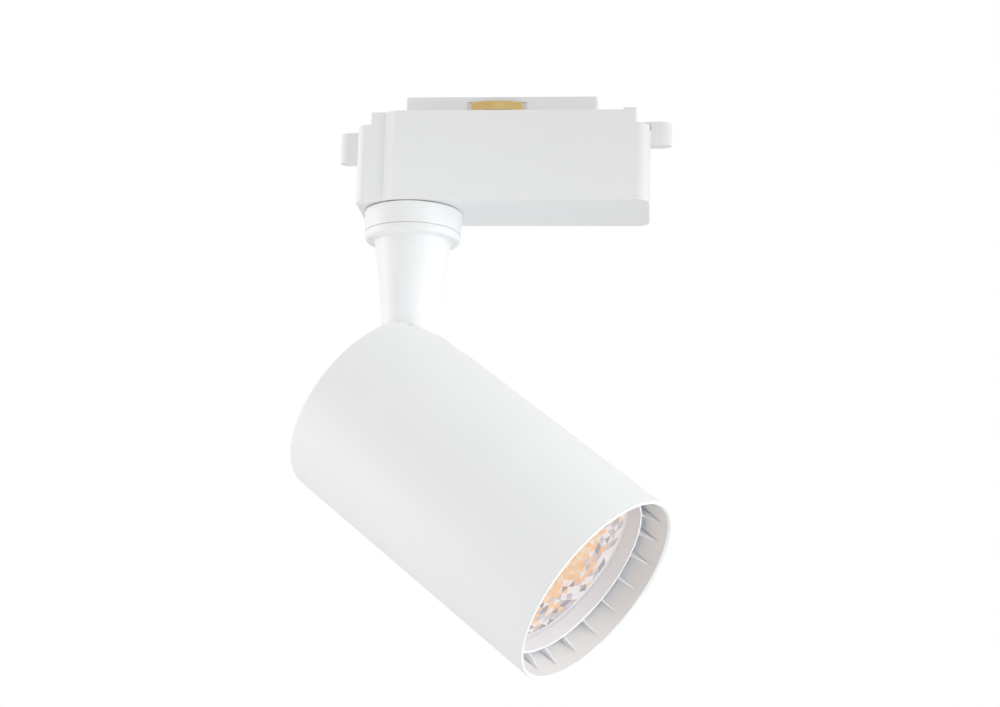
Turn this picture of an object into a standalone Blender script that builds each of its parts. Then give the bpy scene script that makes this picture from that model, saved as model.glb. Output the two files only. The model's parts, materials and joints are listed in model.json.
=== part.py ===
"""Track spotlight: adapter box with its driver, swivel arm, and a tilting cylindrical head with a COB lamp.

Frame: metres, +Z up. The origin lies on the arm's swivel axis, in the plane of the adapter's top rim,
which seats against the underside of the track. X runs along the track. Sizes below are millimetres.
"""

import math

import bmesh
import bpy
from mathutils import Matrix, Vector

MM = 0.001
GAP = 0.3  # clearance between neighbouring pieces
ROUND = 64  # sides of a large turned piece
SMALL_ROUND = 12  # sides of a screw, a pin or a hole

# Pose of the joints in which the lamp is modelled
PAN_REST = -21.55
TILT_REST = 36.85  # degrees below horizontal
TILT_HIGHEST = 35.0

# Adapter box
BOX_HALF = 16.65
NOSE_HALF = 14.55
BOX_LEFT, BOX_RIGHT = -18.8, 82.4
TOP_LEFT, TOP_RIGHT = -14.15, 77.95
NOSE_START, NOSE_END = -5.5, -9.0
BOX_BOTTOM = -32.1
STEP_TOP = -4.5
WALL = 1.8
RIM_STEP = 0.03  # hairline step all round between the tray and its rim
FLOOR_TOP = BOX_BOTTOM + 2.0
ROOF_BOTTOM = STEP_TOP - WALL
LID_THICK = 2.2
TONGUE_HALF, TONGUE_HIGH = 7.2, 8.0
TONGUE_LEFT, TONGUE_RIGHT = -3.0, 64.0
POST_PLACES = ((12.0, 12.0), (12.0, -12.0), (72.0, 12.0), (72.0, -12.0))
BOARD_LEFT, BOARD_RIGHT, BOARD_HALF, BOARD_Z = 17.0, 68.0, 12.6, -25.5
BOARD_POSTS = ((20.5, 8.5), (64.5, -8.5))

# Latches at the two ends of the box, "lock" at the left and "release" at the right. Each has a finger
# outside the end of the box, a bridge over its wall, and a carriage inside with a hook for the track.
LATCH_TRAVEL = 4.0
LATCHES = (
    {
        "name": "lock_latch", "y": (-0.35, 3.85), "finger_x": (-27.1, -19.1), "finger_z": (-13.7, -2.7),
        "bridge": (-4.4, -2.7), "carriage": (-11.8, -9.7), "window": (-20.0, -9.0), "hook": -1, "ridge": 0.34,
        "spring_x": -13.8,
    },
    {
        "name": "release_latch", "y": (-5.9, -1.3), "finger_x": (90.0, 82.7), "finger_z": (-9.2, -0.8),
        "bridge": (-2.6, -0.8), "carriage": (75.4, 73.2), "window": (84.0, 73.0), "hook": 1, "ridge": 0.5,
        "spring_x": 77.6,
    },
)

# Swivel
BOSS_RADIUS, BOSS_TOP, BOSS_BOTTOM = 17.2, -33.2, -39.9
SPIGOT_RADIUS, SPIGOT_TOP = 5.0, -21.5
FLANGE_RADIUS, FLANGE_TOP, FLANGE_BOTTOM = 16.8, -40.1, -42.9
BOSS_SCREW_Y = 11.6

# Arm: a cone that flattens towards its foot, then a flat eye on the tilt bolt
ARM_TOP_RADIUS, ARM_END_RADIUS, ARM_FADE = 13.3, 8.0, 30.0
CONE_END = -97.0
CABLE_BORE = 3.0
PIVOT_Z = -111.4
EYE_RADIUS, EYE_HALF = 8.3, 3.9
CABLE_EXIT_Z = -86.0

# Head, along its own axis, measured forward from the tilt bolt
HEAD_RADIUS, HEAD_BORE = 34.87, 33.5
HEAD_FRONT, HEAD_REAR = 90.84, -19.85
SLOT_HALF, SLOT_END, SLOT_CORNER = 15.6, 0.75, 7.0
COVER_SINK = 0.45  # how far the cover's tongue lies below the tube's surface
COVER_RADIUS = HEAD_BORE - GAP
COVER_BACK, COVER_FRONT = -18.4, -16.4
ARM_SLOT_HALF = 11.0
SINK_REAR, SINK_PLATE, SINK_FRONT = 12.0, 36.0, 42.0
FINS, FIN_THICK = 18, 1.8
BOLT_RADIUS = 2.5
CHEEK_INNER, CHEEK_OUTER = 4.2, 6.4
LENS_FRONT, LENS_REAR = 75.6, 46.6
LENS_RADIUS = 32.9
RIM_EDGE = 80.84
RIM_RADIUS, RIM_THROAT, RIM_WALL = 31.3, 29.8, 0.8
GUSSETS, GUSSET_THICK, GUSSET_TIP = 21, 0.8, 86.7
REAR_SCREWS = (30.0, 150.0, 270.0)  # degrees round the head's axis, from +Y towards +Z
REAR_SCREW_RADIUS = 26.0
STANDOFF_ACROSS = 5.5
BRACKET_SCREW_Y, HOLDER_SCREW_Z = 11.5, 17.0
LEAD_Y, LEAD_Z = 24.0, -9.0


def clear_scene():
    for old in list(bpy.data.objects):
        bpy.data.objects.remove(old, do_unlink=True)


def material(name, colour, roughness, metallic=0.0):
    made = bpy.data.materials.new(name)
    made.use_nodes = True
    shader = made.node_tree.nodes["Principled BSDF"]
    shader.inputs["Base Color"].default_value = (*colour, 1.0)
    shader.inputs["Roughness"].default_value = roughness
    shader.inputs["Metallic"].default_value = metallic
    made.diffuse_color = (*colour, 1.0)
    return made


FINISHES = {
    "white_paint": ((0.86, 0.86, 0.86), 0.42, 0.0),
    "white_plastic": ((0.80, 0.80, 0.80), 0.38, 0.0),
    "aluminium": ((0.62, 0.63, 0.65), 0.35, 1.0),
    "steel": ((0.55, 0.55, 0.56), 0.3, 1.0),
    "brass": ((0.75, 0.56, 0.25), 0.3, 1.0),
    "copper": ((0.72, 0.38, 0.22), 0.35, 1.0),
    "board_green": ((0.05, 0.22, 0.10), 0.5, 0.0),
    "dark_plastic": ((0.03, 0.03, 0.035), 0.5, 0.0),
    "can_blue": ((0.05, 0.08, 0.25), 0.4, 0.0),
    "ceramic": ((0.85, 0.85, 0.83), 0.5, 0.0),
    "phosphor": ((0.95, 0.60, 0.22), 0.45, 0.0),
    "silicone_grey": ((0.45, 0.45, 0.46), 0.6, 0.0),
    "clear_lens": ((0.92, 0.93, 0.94), 0.05, 0.0),
    "red_wire": ((0.55, 0.04, 0.03), 0.5, 0.0),
}


def frame(name, parent, location, axis="Z", degrees=0.0):
    empty = bpy.data.objects.new(name, None)
    bpy.context.scene.collection.objects.link(empty)
    empty.location = Vector(location) * MM
    turn = Matrix.Rotation(math.radians(degrees), 3, axis)
    empty.rotation_euler = turn.to_euler()
    empty.parent = parent
    return empty


def add(name, solid, finish, parent=None):
    """Makes a named object from a bmesh in millimetres, with its own material."""
    bmesh.ops.recalc_face_normals(solid, faces=solid.faces)
    bmesh.ops.scale(solid, vec=(MM, MM, MM), verts=solid.verts)
    mesh = bpy.data.meshes.new(name)
    solid.to_mesh(mesh)
    solid.free()
    mesh.shade_smooth()
    mesh.set_sharp_from_angle(angle=math.radians(32))
    made = bpy.data.objects.new(name, mesh)
    bpy.context.scene.collection.objects.link(made)
    made.parent = parent
    if finish:
        made.data.materials.append(material(name, *FINISHES[finish]))
    return made


def merged(solids):
    """One bmesh that holds several separate shapes."""
    whole = bmesh.new()
    for solid in solids:
        copies = {corner: whole.verts.new(corner.co) for corner in solid.verts}
        for face in solid.faces:
            whole.faces.new([copies[corner] for corner in face.verts])
        solid.free()
    return whole


def combine(target, operation, solids):
    """Adds a Boolean to target, whose other shapes are a hidden helper in the same frame."""
    helper = add(f"{target.name}_shape_{len(target.modifiers)}", merged(solids), None, target.parent)
    helper.hide_render = True
    helper.display_type = "WIRE"
    boolean = target.modifiers.new(operation.lower(), "BOOLEAN")
    boolean.operation = operation
    boolean.solver = "EXACT"
    boolean.object = helper


def cut(target, *solids):
    combine(target, "DIFFERENCE", solids)


def join(target, *solids):
    combine(target, "UNION", solids)


AXES = {"XY": (0, 1, 2), "XZ": (0, 2, 1), "YZ": (1, 2, 0)}


def prism(outline, low, high, plane="XY"):
    """An outline drawn in a plane and extruded across it, from low to high."""
    order = AXES[plane]
    solid = bmesh.new()
    corners = []
    for u, v in outline:
        place = [0.0, 0.0, 0.0]
        place[order[0]], place[order[1]], place[order[2]] = u, v, low
        corners.append(solid.verts.new(place))
    face = solid.faces.new(corners)
    grown = bmesh.ops.extrude_face_region(solid, geom=[face])
    moved = [piece for piece in grown["geom"] if isinstance(piece, bmesh.types.BMVert)]
    shift = [0.0, 0.0, 0.0]
    shift[order[2]] = high - low
    bmesh.ops.translate(solid, vec=shift, verts=moved)
    return solid


def box(x_range, y_range, z_range):
    (x0, x1), (y0, y1), (z0, z1) = x_range, y_range, z_range
    return prism(((x0, y0), (x1, y0), (x1, y1), (x0, y1)), z0, z1)


def turned(profile, axis="Z", steps=ROUND, centre=(0.0, 0.0, 0.0)):
    """A profile of (radius, height) points turned about an axis. Ends at radius 0 close the solid."""
    solid = bmesh.new()
    along = "XYZ".index(axis)
    across = (along + 1) % 3
    points = []
    for radius, height in profile:
        place = [0.0, 0.0, 0.0]
        place[across], place[along] = radius, height
        points.append(solid.verts.new(place))
    edges = [solid.edges.new(pair) for pair in zip(points, points[1:])]
    if profile[0][0] > 0 or profile[-1][0] > 0:
        edges.append(solid.edges.new((points[-1], points[0])))
    line = [0.0, 0.0, 0.0]
    line[along] = 1.0
    bmesh.ops.spin(
        solid, geom=points + edges, cent=(0, 0, 0), axis=line, angle=math.tau, steps=steps, use_merge=True
    )
    bmesh.ops.remove_doubles(solid, verts=solid.verts, dist=1e-5)
    bmesh.ops.translate(solid, vec=centre, verts=solid.verts)
    return solid


def rod(radius, low, high, axis="Z", centre=(0.0, 0.0, 0.0), steps=SMALL_ROUND):
    return turned(((0, low), (radius, low), (radius, high), (0, high)), axis, steps, centre)


def tube(inner, outer, low, high, axis="Z", centre=(0.0, 0.0, 0.0), steps=ROUND):
    profile = ((inner, low), (outer, low), (outer, high), (inner, high))
    return turned(profile, axis, steps, centre)


def loft(rings):
    """Joins rings of (x, y, z) points, one after another, and closes both ends."""
    solid = bmesh.new()
    rows = [[solid.verts.new(point) for point in ring] for ring in rings]
    count = len(rows[0])
    for low, high in zip(rows, rows[1:]):
        for i in range(count):
            j = (i + 1) % count
            solid.faces.new((low[i], low[j], high[j], high[i]))
    solid.faces.new(rows[0])
    solid.faces.new(rows[-1])
    bmesh.ops.remove_doubles(solid, verts=solid.verts, dist=1e-5)
    return solid


def arc(cx, cy, radius, start, end, steps):
    """Points on an arc, angles in degrees."""
    angles = [math.radians(start + (end - start) * i / steps) for i in range(steps + 1)]
    return [(cx + radius * math.cos(a), cy + radius * math.sin(a)) for a in angles]


def screw(name, place, length, parent=None, axis="Z", sign=1, radius=1.2, head=2.4, head_high=1.3):
    """Pan-head screw. Its head stands on the side that sign gives, its shank runs the other way."""
    profile = [(0, -length), (radius * 0.6, -length), (radius, -length + 0.8), (radius, 0), (head, 0)]
    profile += [(head, head_high * 0.5), (head * 0.75, head_high), (0, head_high)]
    solid = turned([(r, h * sign) for r, h in profile], axis, SMALL_ROUND, place)
    return add(name, solid, "steel", parent)


def nut(name, low, high, bore, across, axis, parent):
    """Hexagon nut with a plain bore."""
    corner = across / math.cos(math.radians(30)) / 2
    plane = {"Z": "XY", "Y": "XZ"}[axis]
    made = add(name, prism(arc(0, 0, corner, 0, 300, 5), low, high, plane), "steel", parent)
    cut(made, rod(bore, low - 1, high + 1, axis, steps=24))
    return made


def wire(name, points, radius, finish, parent=None):
    """A round lead along a smooth line through points, as a curve with filled caps."""
    curve = bpy.data.curves.new(name, "CURVE")
    curve.dimensions = "3D"
    curve.bevel_depth = radius * MM
    curve.bevel_resolution = 2
    curve.use_fill_caps = True
    smooth = smooth_line(points)
    spline = curve.splines.new("POLY")
    spline.points.add(len(smooth) - 1)
    for slot, point in zip(spline.points, smooth):
        slot.co = (*(Vector(point) * MM), 1.0)
    made = bpy.data.objects.new(name, curve)
    bpy.context.scene.collection.objects.link(made)
    made.parent = parent
    curve.materials.append(material(name, *FINISHES[finish]))
    return made


def smooth_line(points, steps=3):
    """Catmull-Rom line through points."""
    ends = [Vector(points[0])] + [Vector(p) for p in points] + [Vector(points[-1])]
    line = []
    for i in range(len(points) - 1):
        a, b, c, d = ends[i : i + 4]
        for k in range(steps):
            t = k / steps
            spot = 2 * b + (c - a) * t + (2 * a - 5 * b + 4 * c - d) * t**2
            line.append((spot + (3 * b - a - 3 * c + d) * t**3) / 2)
    line.append(ends[-1])
    return line


def coil(name, centre, radius, low, high, turns, thick, finish):
    """Helical spring of round wire, standing on its end."""
    solid = bmesh.new()
    sides, steps = 4, 8
    rows = []
    for i in range(turns * steps + 1):
        angle = math.tau * i / steps
        rise = low + thick + (high - low - 2 * thick) * i / (turns * steps)
        out = Vector((math.cos(angle), math.sin(angle), 0))
        spot = Vector((centre[0], centre[1], rise)) + out * radius
        row = []
        for k in range(sides):
            turn = math.tau * k / sides
            row.append(spot + out * thick * math.cos(turn) + Vector((0, 0, thick * math.sin(turn))))
        rows.append([solid.verts.new(point) for point in row])
    for first, second in zip(rows, rows[1:]):
        for k in range(sides):
            j = (k + 1) % sides
            solid.faces.new((first[k], first[j], second[j], second[k]))
    solid.faces.new(rows[0])
    solid.faces.new(rows[-1])
    return add(name, solid, finish)


def box_outline(left, left_corner, right, right_corner, inset):
    """Plan of the adapter box, counter-clockwise from its right end. The left end narrows to a nose."""
    wide, nose = BOX_HALF - inset, NOSE_HALF - inset
    x0, x1 = left + inset, right - inset
    r0, r1 = max(left_corner - inset, 0.3), max(right_corner - inset, 0.3)
    half = arc(x1 - r1, wide - r1, r1, 0, 90, 6)
    for i in range(7):
        t = i / 6
        ease = t * t * (3 - 2 * t)
        half.append((NOSE_START + (NOSE_END - NOSE_START) * t, wide + (nose - wide) * ease))
    half += arc(x0 + r0, nose - r0, r0, 90, 180, 6)
    return half + [(x, -y) for x, y in reversed(half)]


def make_adapter_body():
    """One moulding: a full-length tray whose rim is cut back at both ends, open at the top."""
    full = box_outline(BOX_LEFT, 3.75, BOX_RIGHT, 4.7, 0.0)
    rim = box_outline(TOP_LEFT, 0.4, TOP_RIGHT, 0.4, RIM_STEP)
    inner_rim = box_outline(TOP_LEFT, 0.4, TOP_RIGHT, 0.4, WALL + RIM_STEP)
    inner_full = box_outline(BOX_LEFT, 3.75, BOX_RIGHT, 4.7, WALL)
    stack = (
        (full, BOX_BOTTOM), (full, STEP_TOP), (rim, STEP_TOP), (rim, 0.0),
        (inner_rim, 0.0), (inner_rim, ROOF_BOTTOM), (inner_full, ROOF_BOTTOM), (inner_full, FLOOR_TOP),
    )
    body = add("adapter_body", loft([[(x, y, z) for x, y in ring] for ring, z in stack]), "white_plastic")
    low = FLOOR_TOP - 0.5
    posts = [rod(2.6, low, -LID_THICK - 2 * GAP, centre=(x, y, 0)) for x, y in POST_PLACES]
    posts += [rod(2.4, low, BOARD_Z - GAP, centre=(x, y, 0)) for x, y in BOARD_POSTS]
    posts.append(rod(1.5, STEP_TOP - 0.8, -2.8, centre=(-15.6, -4.6, 0)))
    join(body, *posts)
    holes = [rod(1.5, -13.0, 0.0, centre=(x, y, 0)) for x, y in POST_PLACES]
    holes += [rod(1.4, FLOOR_TOP + 0.4, BOARD_Z, centre=(x, y, 0)) for x, y in BOARD_POSTS]
    holes.append(rod(SPIGOT_RADIUS + GAP, BOX_BOTTOM - 1, FLOOR_TOP + 1, steps=ROUND // 2))
    for side in (-1, 1):
        holes.append(rod(1.5, BOX_BOTTOM - 1, FLOOR_TOP + 1, centre=(0, side * BOSS_SCREW_Y, 0)))
    for latch in LATCHES:
        y0, y1 = latch["y"]
        low = latch["bridge"][0] - LATCH_TRAVEL - 2 * GAP
        holes.append(box(latch["window"], (y0 - GAP, y1 + GAP), (low, 1.0)))
    cut(body, *holes)


def make_lid():
    """Top plate inside the rim, with the tongue that carries the contacts up into the track."""
    outline = box_outline(TOP_LEFT, 0.4, TOP_RIGHT, 0.4, WALL + GAP)
    lid = add("adapter_lid", prism(outline, -LID_THICK - GAP, -GAP), "white_plastic")
    tongue = (TONGUE_LEFT, TONGUE_RIGHT), (-TONGUE_HALF, TONGUE_HALF), (-LID_THICK, TONGUE_HIGH)
    join(lid, box(*tongue))
    core = 2.5
    holes = [box((TONGUE_LEFT + 3, TONGUE_RIGHT - 3), (-core, core), (-LID_THICK - 1, TONGUE_HIGH - 2))]
    recess = ((0, -5), (1.5, -5), (1.5, -1.9), (2.8, -1.9), (2.8, 2), (0, 2))
    holes += [turned(recess, "Z", SMALL_ROUND, (x, y, 0)) for x, y in POST_PLACES]
    for latch in LATCHES:
        y0, y1 = latch["y"]
        holes.append(box(sorted(latch["window"]), (y0 - GAP, y1 + GAP), (-5, 2)))
    cut(lid, *holes)


def finger_outline(latch):
    """Leaf-shaped plan of the finger: flat sides that arch over to a blunt tip."""
    tip, root = latch["finger_x"]
    y0, y1 = latch["y"]
    middle, half = (y0 + y1) / 2, (y1 - y0) / 2
    outline = [(root, y0), (root, y1)]
    for angle in range(90, -91, -20):
        lean = math.radians(angle)
        out = math.cos(lean) * abs(root - tip) * latch["ridge"]
        base = tip + (abs(root - tip) * latch["ridge"]) * (1 if root > tip else -1)
        outline.append((base + out * (-1 if root > tip else 1), middle + half * math.sin(lean)))
    return outline


def make_latch(latch):
    y0, y1 = latch["y"]
    x_near, x_far = sorted(latch["carriage"])
    outline = finger_outline(latch)
    made = add(latch["name"], prism(outline, *latch["finger_z"]), "white_plastic")
    root = latch["finger_x"][1]
    reach = sorted((root + latch["hook"], latch["carriage"][1]))
    inset = 0.25
    join(made, box(reach, (y0 + inset, y1 - inset), latch["bridge"]))
    foot, head = -17.0, 4.6
    join(made, box((x_near, x_far), (y0 + inset, y1 - inset), (foot, head)))
    hook = sorted((latch["carriage"][1], latch["carriage"][0] + latch["hook"] * 2.2))
    join(made, box(hook, (y0 + inset, y1 - inset), (head - 2.2, head)))
    spring_x = latch["spring_x"]
    toe = sorted((latch["carriage"][1], spring_x + latch["hook"] * 2.1))
    join(made, box(toe, (y0 + inset, y1 - inset), (foot, foot + 1.6)))
    centre = (spring_x, (y0 + y1) / 2)
    coil(latch["name"] + "_spring", centre, 1.7, FLOOR_TOP + GAP, foot - GAP, 6, 0.3, "steel")
    return made


def make_contact(name, side):
    """Spring contact: a strip bowed outwards beside the tongue."""
    start, end, bow, thick = 20.0, 38.0, 1.9, 0.5
    base = TONGUE_HALF + GAP
    outer, inner = [], []
    for i in range(11):
        t = i / 10
        lift = bow * math.sin(math.pi * t)
        x = start + (end - start) * t
        outer.append((x, side * (base + thick + lift)))
        inner.append((x, side * (base + lift)))
    return add(name, prism(outer + inner[::-1], 2.6, 5.8), "brass")


def make_driver():
    board = box((BOARD_LEFT, BOARD_RIGHT), (-BOARD_HALF, BOARD_HALF), (BOARD_Z, BOARD_Z + 1.6))
    board = add("driver_board", board, "board_green")
    top = BOARD_Z + 1.6
    cut(board, *[rod(1.5, BOARD_Z - 1, top + 1, centre=(x, y, 0)) for x, y in BOARD_POSTS])
    stand = top + GAP
    windings = rod(6.2, 36.0, 48.0, "X", (0, 0, stand + 7.5), 24)
    transformer = add("transformer", box((34.5, 36.5), (-8.0, 8.0), (stand, stand + 15.0)), "dark_plastic")
    join(transformer, box((47.5, 49.5), (-8.0, 8.0), (stand, stand + 15.0)))
    join(transformer, windings)
    add("mains_capacitor", rod(4.6, stand, stand + 15.5, centre=(27.0, -5.5, 0), steps=24), "can_blue")
    add("output_capacitor", rod(3.6, stand, stand + 12.0, centre=(56.0, 6.0, 0), steps=24), "can_blue")
    add("driver_chip", box((53.0, 59.5), (-7.5, -2.5), (stand, stand + 1.8)), "dark_plastic")
    choke = turned([(3.4 + 1.5 * x, 1.5 * y) for x, y in arc(0, 0, 1.0, 0, 315, 7)], "Z", 16)
    bmesh.ops.translate(choke, vec=(27.5, 6.2, stand + 1.8), verts=choke.verts)
    add("choke", choke, "copper")
    block = add("terminal_block", box((61.5, 67.5), (-1.0, 11.0), (stand, stand + 8.0)), "white_plastic")
    cut(block, *[rod(1.6, stand + 2.5, stand + 9.0, centre=(64.5, y, 0)) for y in (2.2, 7.8)])
    for index, (x, y) in enumerate(BOARD_POSTS, 1):
        screw(f"board_screw_{index}", (x, y, top + GAP), 4.2, radius=1.0, head=2.0, head_high=1.1)


def make_adapter():
    make_adapter_body()
    make_lid()
    for index, (x, y) in enumerate(POST_PLACES, 1):
        screw(f"lid_screw_{index}", (x, y, -1.6), 9.0, head=2.3, head_high=1.1)
    make_contact("contact_live", -1)
    make_contact("contact_neutral", 1)
    make_driver()
    for latch in LATCHES:
        make_latch(latch)
    profile = [(SPIGOT_RADIUS + GAP, BOX_BOTTOM - GAP), (16.0, BOX_BOTTOM - GAP), (16.0, BOSS_TOP)]
    profile += [(BOSS_RADIUS - 0.6, BOSS_TOP), (BOSS_RADIUS - 0.1, BOSS_TOP - 0.5)]
    profile += [(BOSS_RADIUS - 0.35, BOSS_BOTTOM), (SPIGOT_RADIUS + GAP, BOSS_BOTTOM)]
    boss = add("swivel_boss", turned(profile, steps=48), "white_paint")
    sides = (-1, 1)
    cut(boss, *[rod(1.5, -38.2, BOX_BOTTOM + 1, centre=(0, side * BOSS_SCREW_Y, 0)) for side in sides])
    for index, side in enumerate(sides, 1):
        screw(f"boss_screw_{index}", (0, side * BOSS_SCREW_Y, FLOOR_TOP + GAP), 7.5)
    lead = [(64.5, 2.2, -16.0), (62.0, 2.2, -9.0), (50.0, 0.0, -6.0), (30.0, 0.0, -6.0), (8.0, 0.0, -6.5)]
    lead += [(2.0, 0.0, -10.0), (0.0, 0.0, -15.0), (0.0, 0.0, -19.4)]
    wire("driver_output_lead", lead, 1.3, "silicone_grey")


def arm_radius(height):
    depth = FLANGE_BOTTOM - height
    return ARM_END_RADIUS + (ARM_TOP_RADIUS - ARM_END_RADIUS) * math.exp(-depth / ARM_FADE)


def make_arm(pan):
    profile = [(CABLE_BORE, SPIGOT_TOP), (SPIGOT_RADIUS, SPIGOT_TOP), (SPIGOT_RADIUS, FLANGE_TOP)]
    profile += [(FLANGE_RADIUS, FLANGE_TOP), (FLANGE_RADIUS - 0.15, FLANGE_BOTTOM + 0.9)]
    profile += [(FLANGE_RADIUS - 0.5, FLANGE_BOTTOM + 0.2), (FLANGE_RADIUS - 1.2, FLANGE_BOTTOM)]
    steps = 14
    for i in range(steps + 1):
        height = FLANGE_BOTTOM + (CONE_END - FLANGE_BOTTOM) * i / steps
        profile.append((arm_radius(height), height))
    profile.append((CABLE_BORE, CONE_END))
    arm = add("arm", turned(profile, steps=48), "white_paint", pan)
    side = EYE_RADIUS
    eye = arc(0, PIVOT_Z, side, 180, 360, 16) + [(side, CONE_END + 6), (-side, CONE_END + 6)]
    join(arm, prism(eye, -EYE_HALF, EYE_HALF, "XZ"))
    exit_hole = rod(3.2, 1.0, 14.0, "X", (0, 0, CABLE_EXIT_Z))
    cut(arm, rod(BOLT_RADIUS + GAP, -6, 6, "Y", (0, 0, PIVOT_Z)), exit_hole)
    floor = FLOOR_TOP + GAP
    bore = SPIGOT_RADIUS + GAP
    add("swivel_washer", tube(bore, 8.6, floor, floor + 1.0, steps=32), "steel", pan)
    add("swivel_spring_washer", tube(bore, 8.2, floor + 1.3, floor + 2.3, steps=32), "steel", pan)
    nut("swivel_nut", floor + 2.6, floor + 7.0, bore, 14.0, "Z", pan)
    cable = [(0, 0, -19.8), (0, 0, -40), (0, 0, -60), (0, 0, -76), (0.6, 0, -82), (3.0, 0, CABLE_EXIT_Z)]
    cable.append((7.6, 0, CABLE_EXIT_Z - 0.4))
    wire("arm_cable", cable, 1.9, "silicone_grey", pan)


def make_tilt_bolt(tilt):
    """Pivot bolt through both cheeks and the arm's eye, with a friction washer under head and nut."""
    outer = CHEEK_OUTER + GAP
    washer = 1.2
    seat = outer + washer + GAP
    bolt = [(0, -seat - 3.2), (3.6, -seat - 3.2), (4.4, -seat - 2.4), (4.4, -seat), (BOLT_RADIUS, -seat)]
    bolt += [(BOLT_RADIUS, seat + 5.0), (0, seat + 5.0)]
    add("tilt_bolt", turned(bolt, "Y", SMALL_ROUND), "steel", tilt)
    bore = BOLT_RADIUS + GAP
    add("tilt_washer_left", tube(bore, 5.6, -outer - washer, -outer, "Y", steps=24), "steel", tilt)
    add("tilt_washer_right", tube(bore, 5.6, outer, outer + washer, "Y", steps=24), "steel", tilt)
    nut("tilt_nut", seat, seat + 4.0, bore, 8.0, "Y", tilt)


def make_bracket(tilt):
    """U-shaped bracket: a base plate on the heat sink and two cheeks that reach back to the bolt."""
    base_front = SINK_REAR - GAP
    base_back = base_front - 2.2
    size = EYE_RADIUS + 0.6
    plate = box((base_back, base_front), (-15.0, 15.0), (-size, size))
    bracket = add("pivot_bracket", plate, "steel", tilt)
    cheek = arc(0, 0, size, 90, 270, 12) + [(base_back + 1, -size + 0.2), (base_back + 1, size - 0.2)]
    spans = [sorted((side * CHEEK_INNER, side * CHEEK_OUTER)) for side in (-1, 1)]
    join(bracket, *[prism(cheek, low, high, "XZ") for low, high in spans])
    spots = [(base_back - GAP, side * BRACKET_SCREW_Y, 0) for side in (-1, 1)]
    holes = [rod(1.5, -1, base_front - base_back + 1, "X", spot) for spot in spots]
    cut(bracket, rod(BOLT_RADIUS + GAP, -10, 10, "Y"), *holes)
    for index, spot in enumerate(spots, 1):
        screw(f"bracket_screw_{index}", spot, 8.0, tilt, "X", -1)


def round_slot(half, end, corner):
    """Slot outline open to the rear, seen from above, with rounded inner corners."""
    rear = HEAD_REAR - 2
    outline = [(rear, -half)] + arc(end - corner, -half + corner, corner, -90, 0, 8)
    return outline + arc(end - corner, half - corner, corner, 0, 90, 8) + [(rear, half)]


def make_tube(tilt):
    lip, edge = 0.5, 1.1
    profile = [(HEAD_BORE, HEAD_REAR + 0.3), (HEAD_BORE + 0.2, HEAD_REAR)]
    profile += [(r, x) for x, r in arc(HEAD_REAR + edge, HEAD_RADIUS - edge, edge, 180, 90, 4)]
    profile += [(r, x) for x, r in arc(HEAD_FRONT - lip, HEAD_RADIUS - lip, lip, 90, 0, 3)]
    profile += [(HEAD_BORE + 0.3, HEAD_FRONT), (HEAD_BORE, HEAD_FRONT - 0.4)]
    body = add("head_tube", turned(profile, "X", 96), "white_paint", tilt)
    cut(body, prism(round_slot(SLOT_HALF, SLOT_END, SLOT_CORNER), 10, 40))


def make_rear_cover(tilt):
    """Rear disc with an arched tongue that fills the tube's slot.

    The arm leaves through a keyhole in the disc and a round notch that leans as the arm does at its limit.
    """
    disc = rod(COVER_RADIUS, COVER_BACK, COVER_FRONT, "X", steps=ROUND)
    cover = add("rear_cover", disc, "white_paint", tilt)
    arch = tube(HEAD_BORE - 2.2, HEAD_RADIUS - COVER_SINK, HEAD_REAR + 0.5, SLOT_END - GAP, "X", steps=96)
    arch = add("rear_cover_arch", arch, None, tilt)
    arch.hide_render = True
    arch.display_type = "WIRE"
    footprint = prism(round_slot(SLOT_HALF - GAP, SLOT_END - GAP, SLOT_CORNER - GAP), 10, 40)
    combine(arch, "INTERSECT", [footprint])
    union = cover.modifiers.new("arch", "BOOLEAN")
    union.operation = "UNION"
    union.solver = "EXACT"
    union.object = arch
    notch = rod(arm_radius(-70.0) + 1.0, 20, 70, steps=ROUND // 2)
    lean = Matrix.Rotation(-math.radians(TILT_HIGHEST), 3, "Y")
    bmesh.ops.rotate(notch, verts=notch.verts, matrix=lean)
    cut(cover, notch)
    keyhole = arc(0, 0, ARM_SLOT_HALF, 180, 360, 16) + [(ARM_SLOT_HALF, 40), (-ARM_SLOT_HALF, 40)]
    cut(cover, prism(keyhole, COVER_BACK - 3, COVER_FRONT + 0.2, "YZ"))
    places = [screw_place(degrees) for degrees in REAR_SCREWS]
    cut(cover, *[rod(1.5, COVER_BACK - 1, COVER_FRONT + 1, "X", (0, y, z)) for y, z in places])
    for index, (y, z) in enumerate(places, 1):
        screw(f"rear_screw_{index}", (COVER_BACK - GAP, y, z), 9.0, tilt, "X", -1, head_high=1.0)


def screw_place(degrees):
    """Where a rear screw stands round the head's axis, as its sideways and upward offset."""
    lean = math.radians(degrees)
    return REAR_SCREW_RADIUS * math.cos(lean), REAR_SCREW_RADIUS * math.sin(lean)


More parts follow.
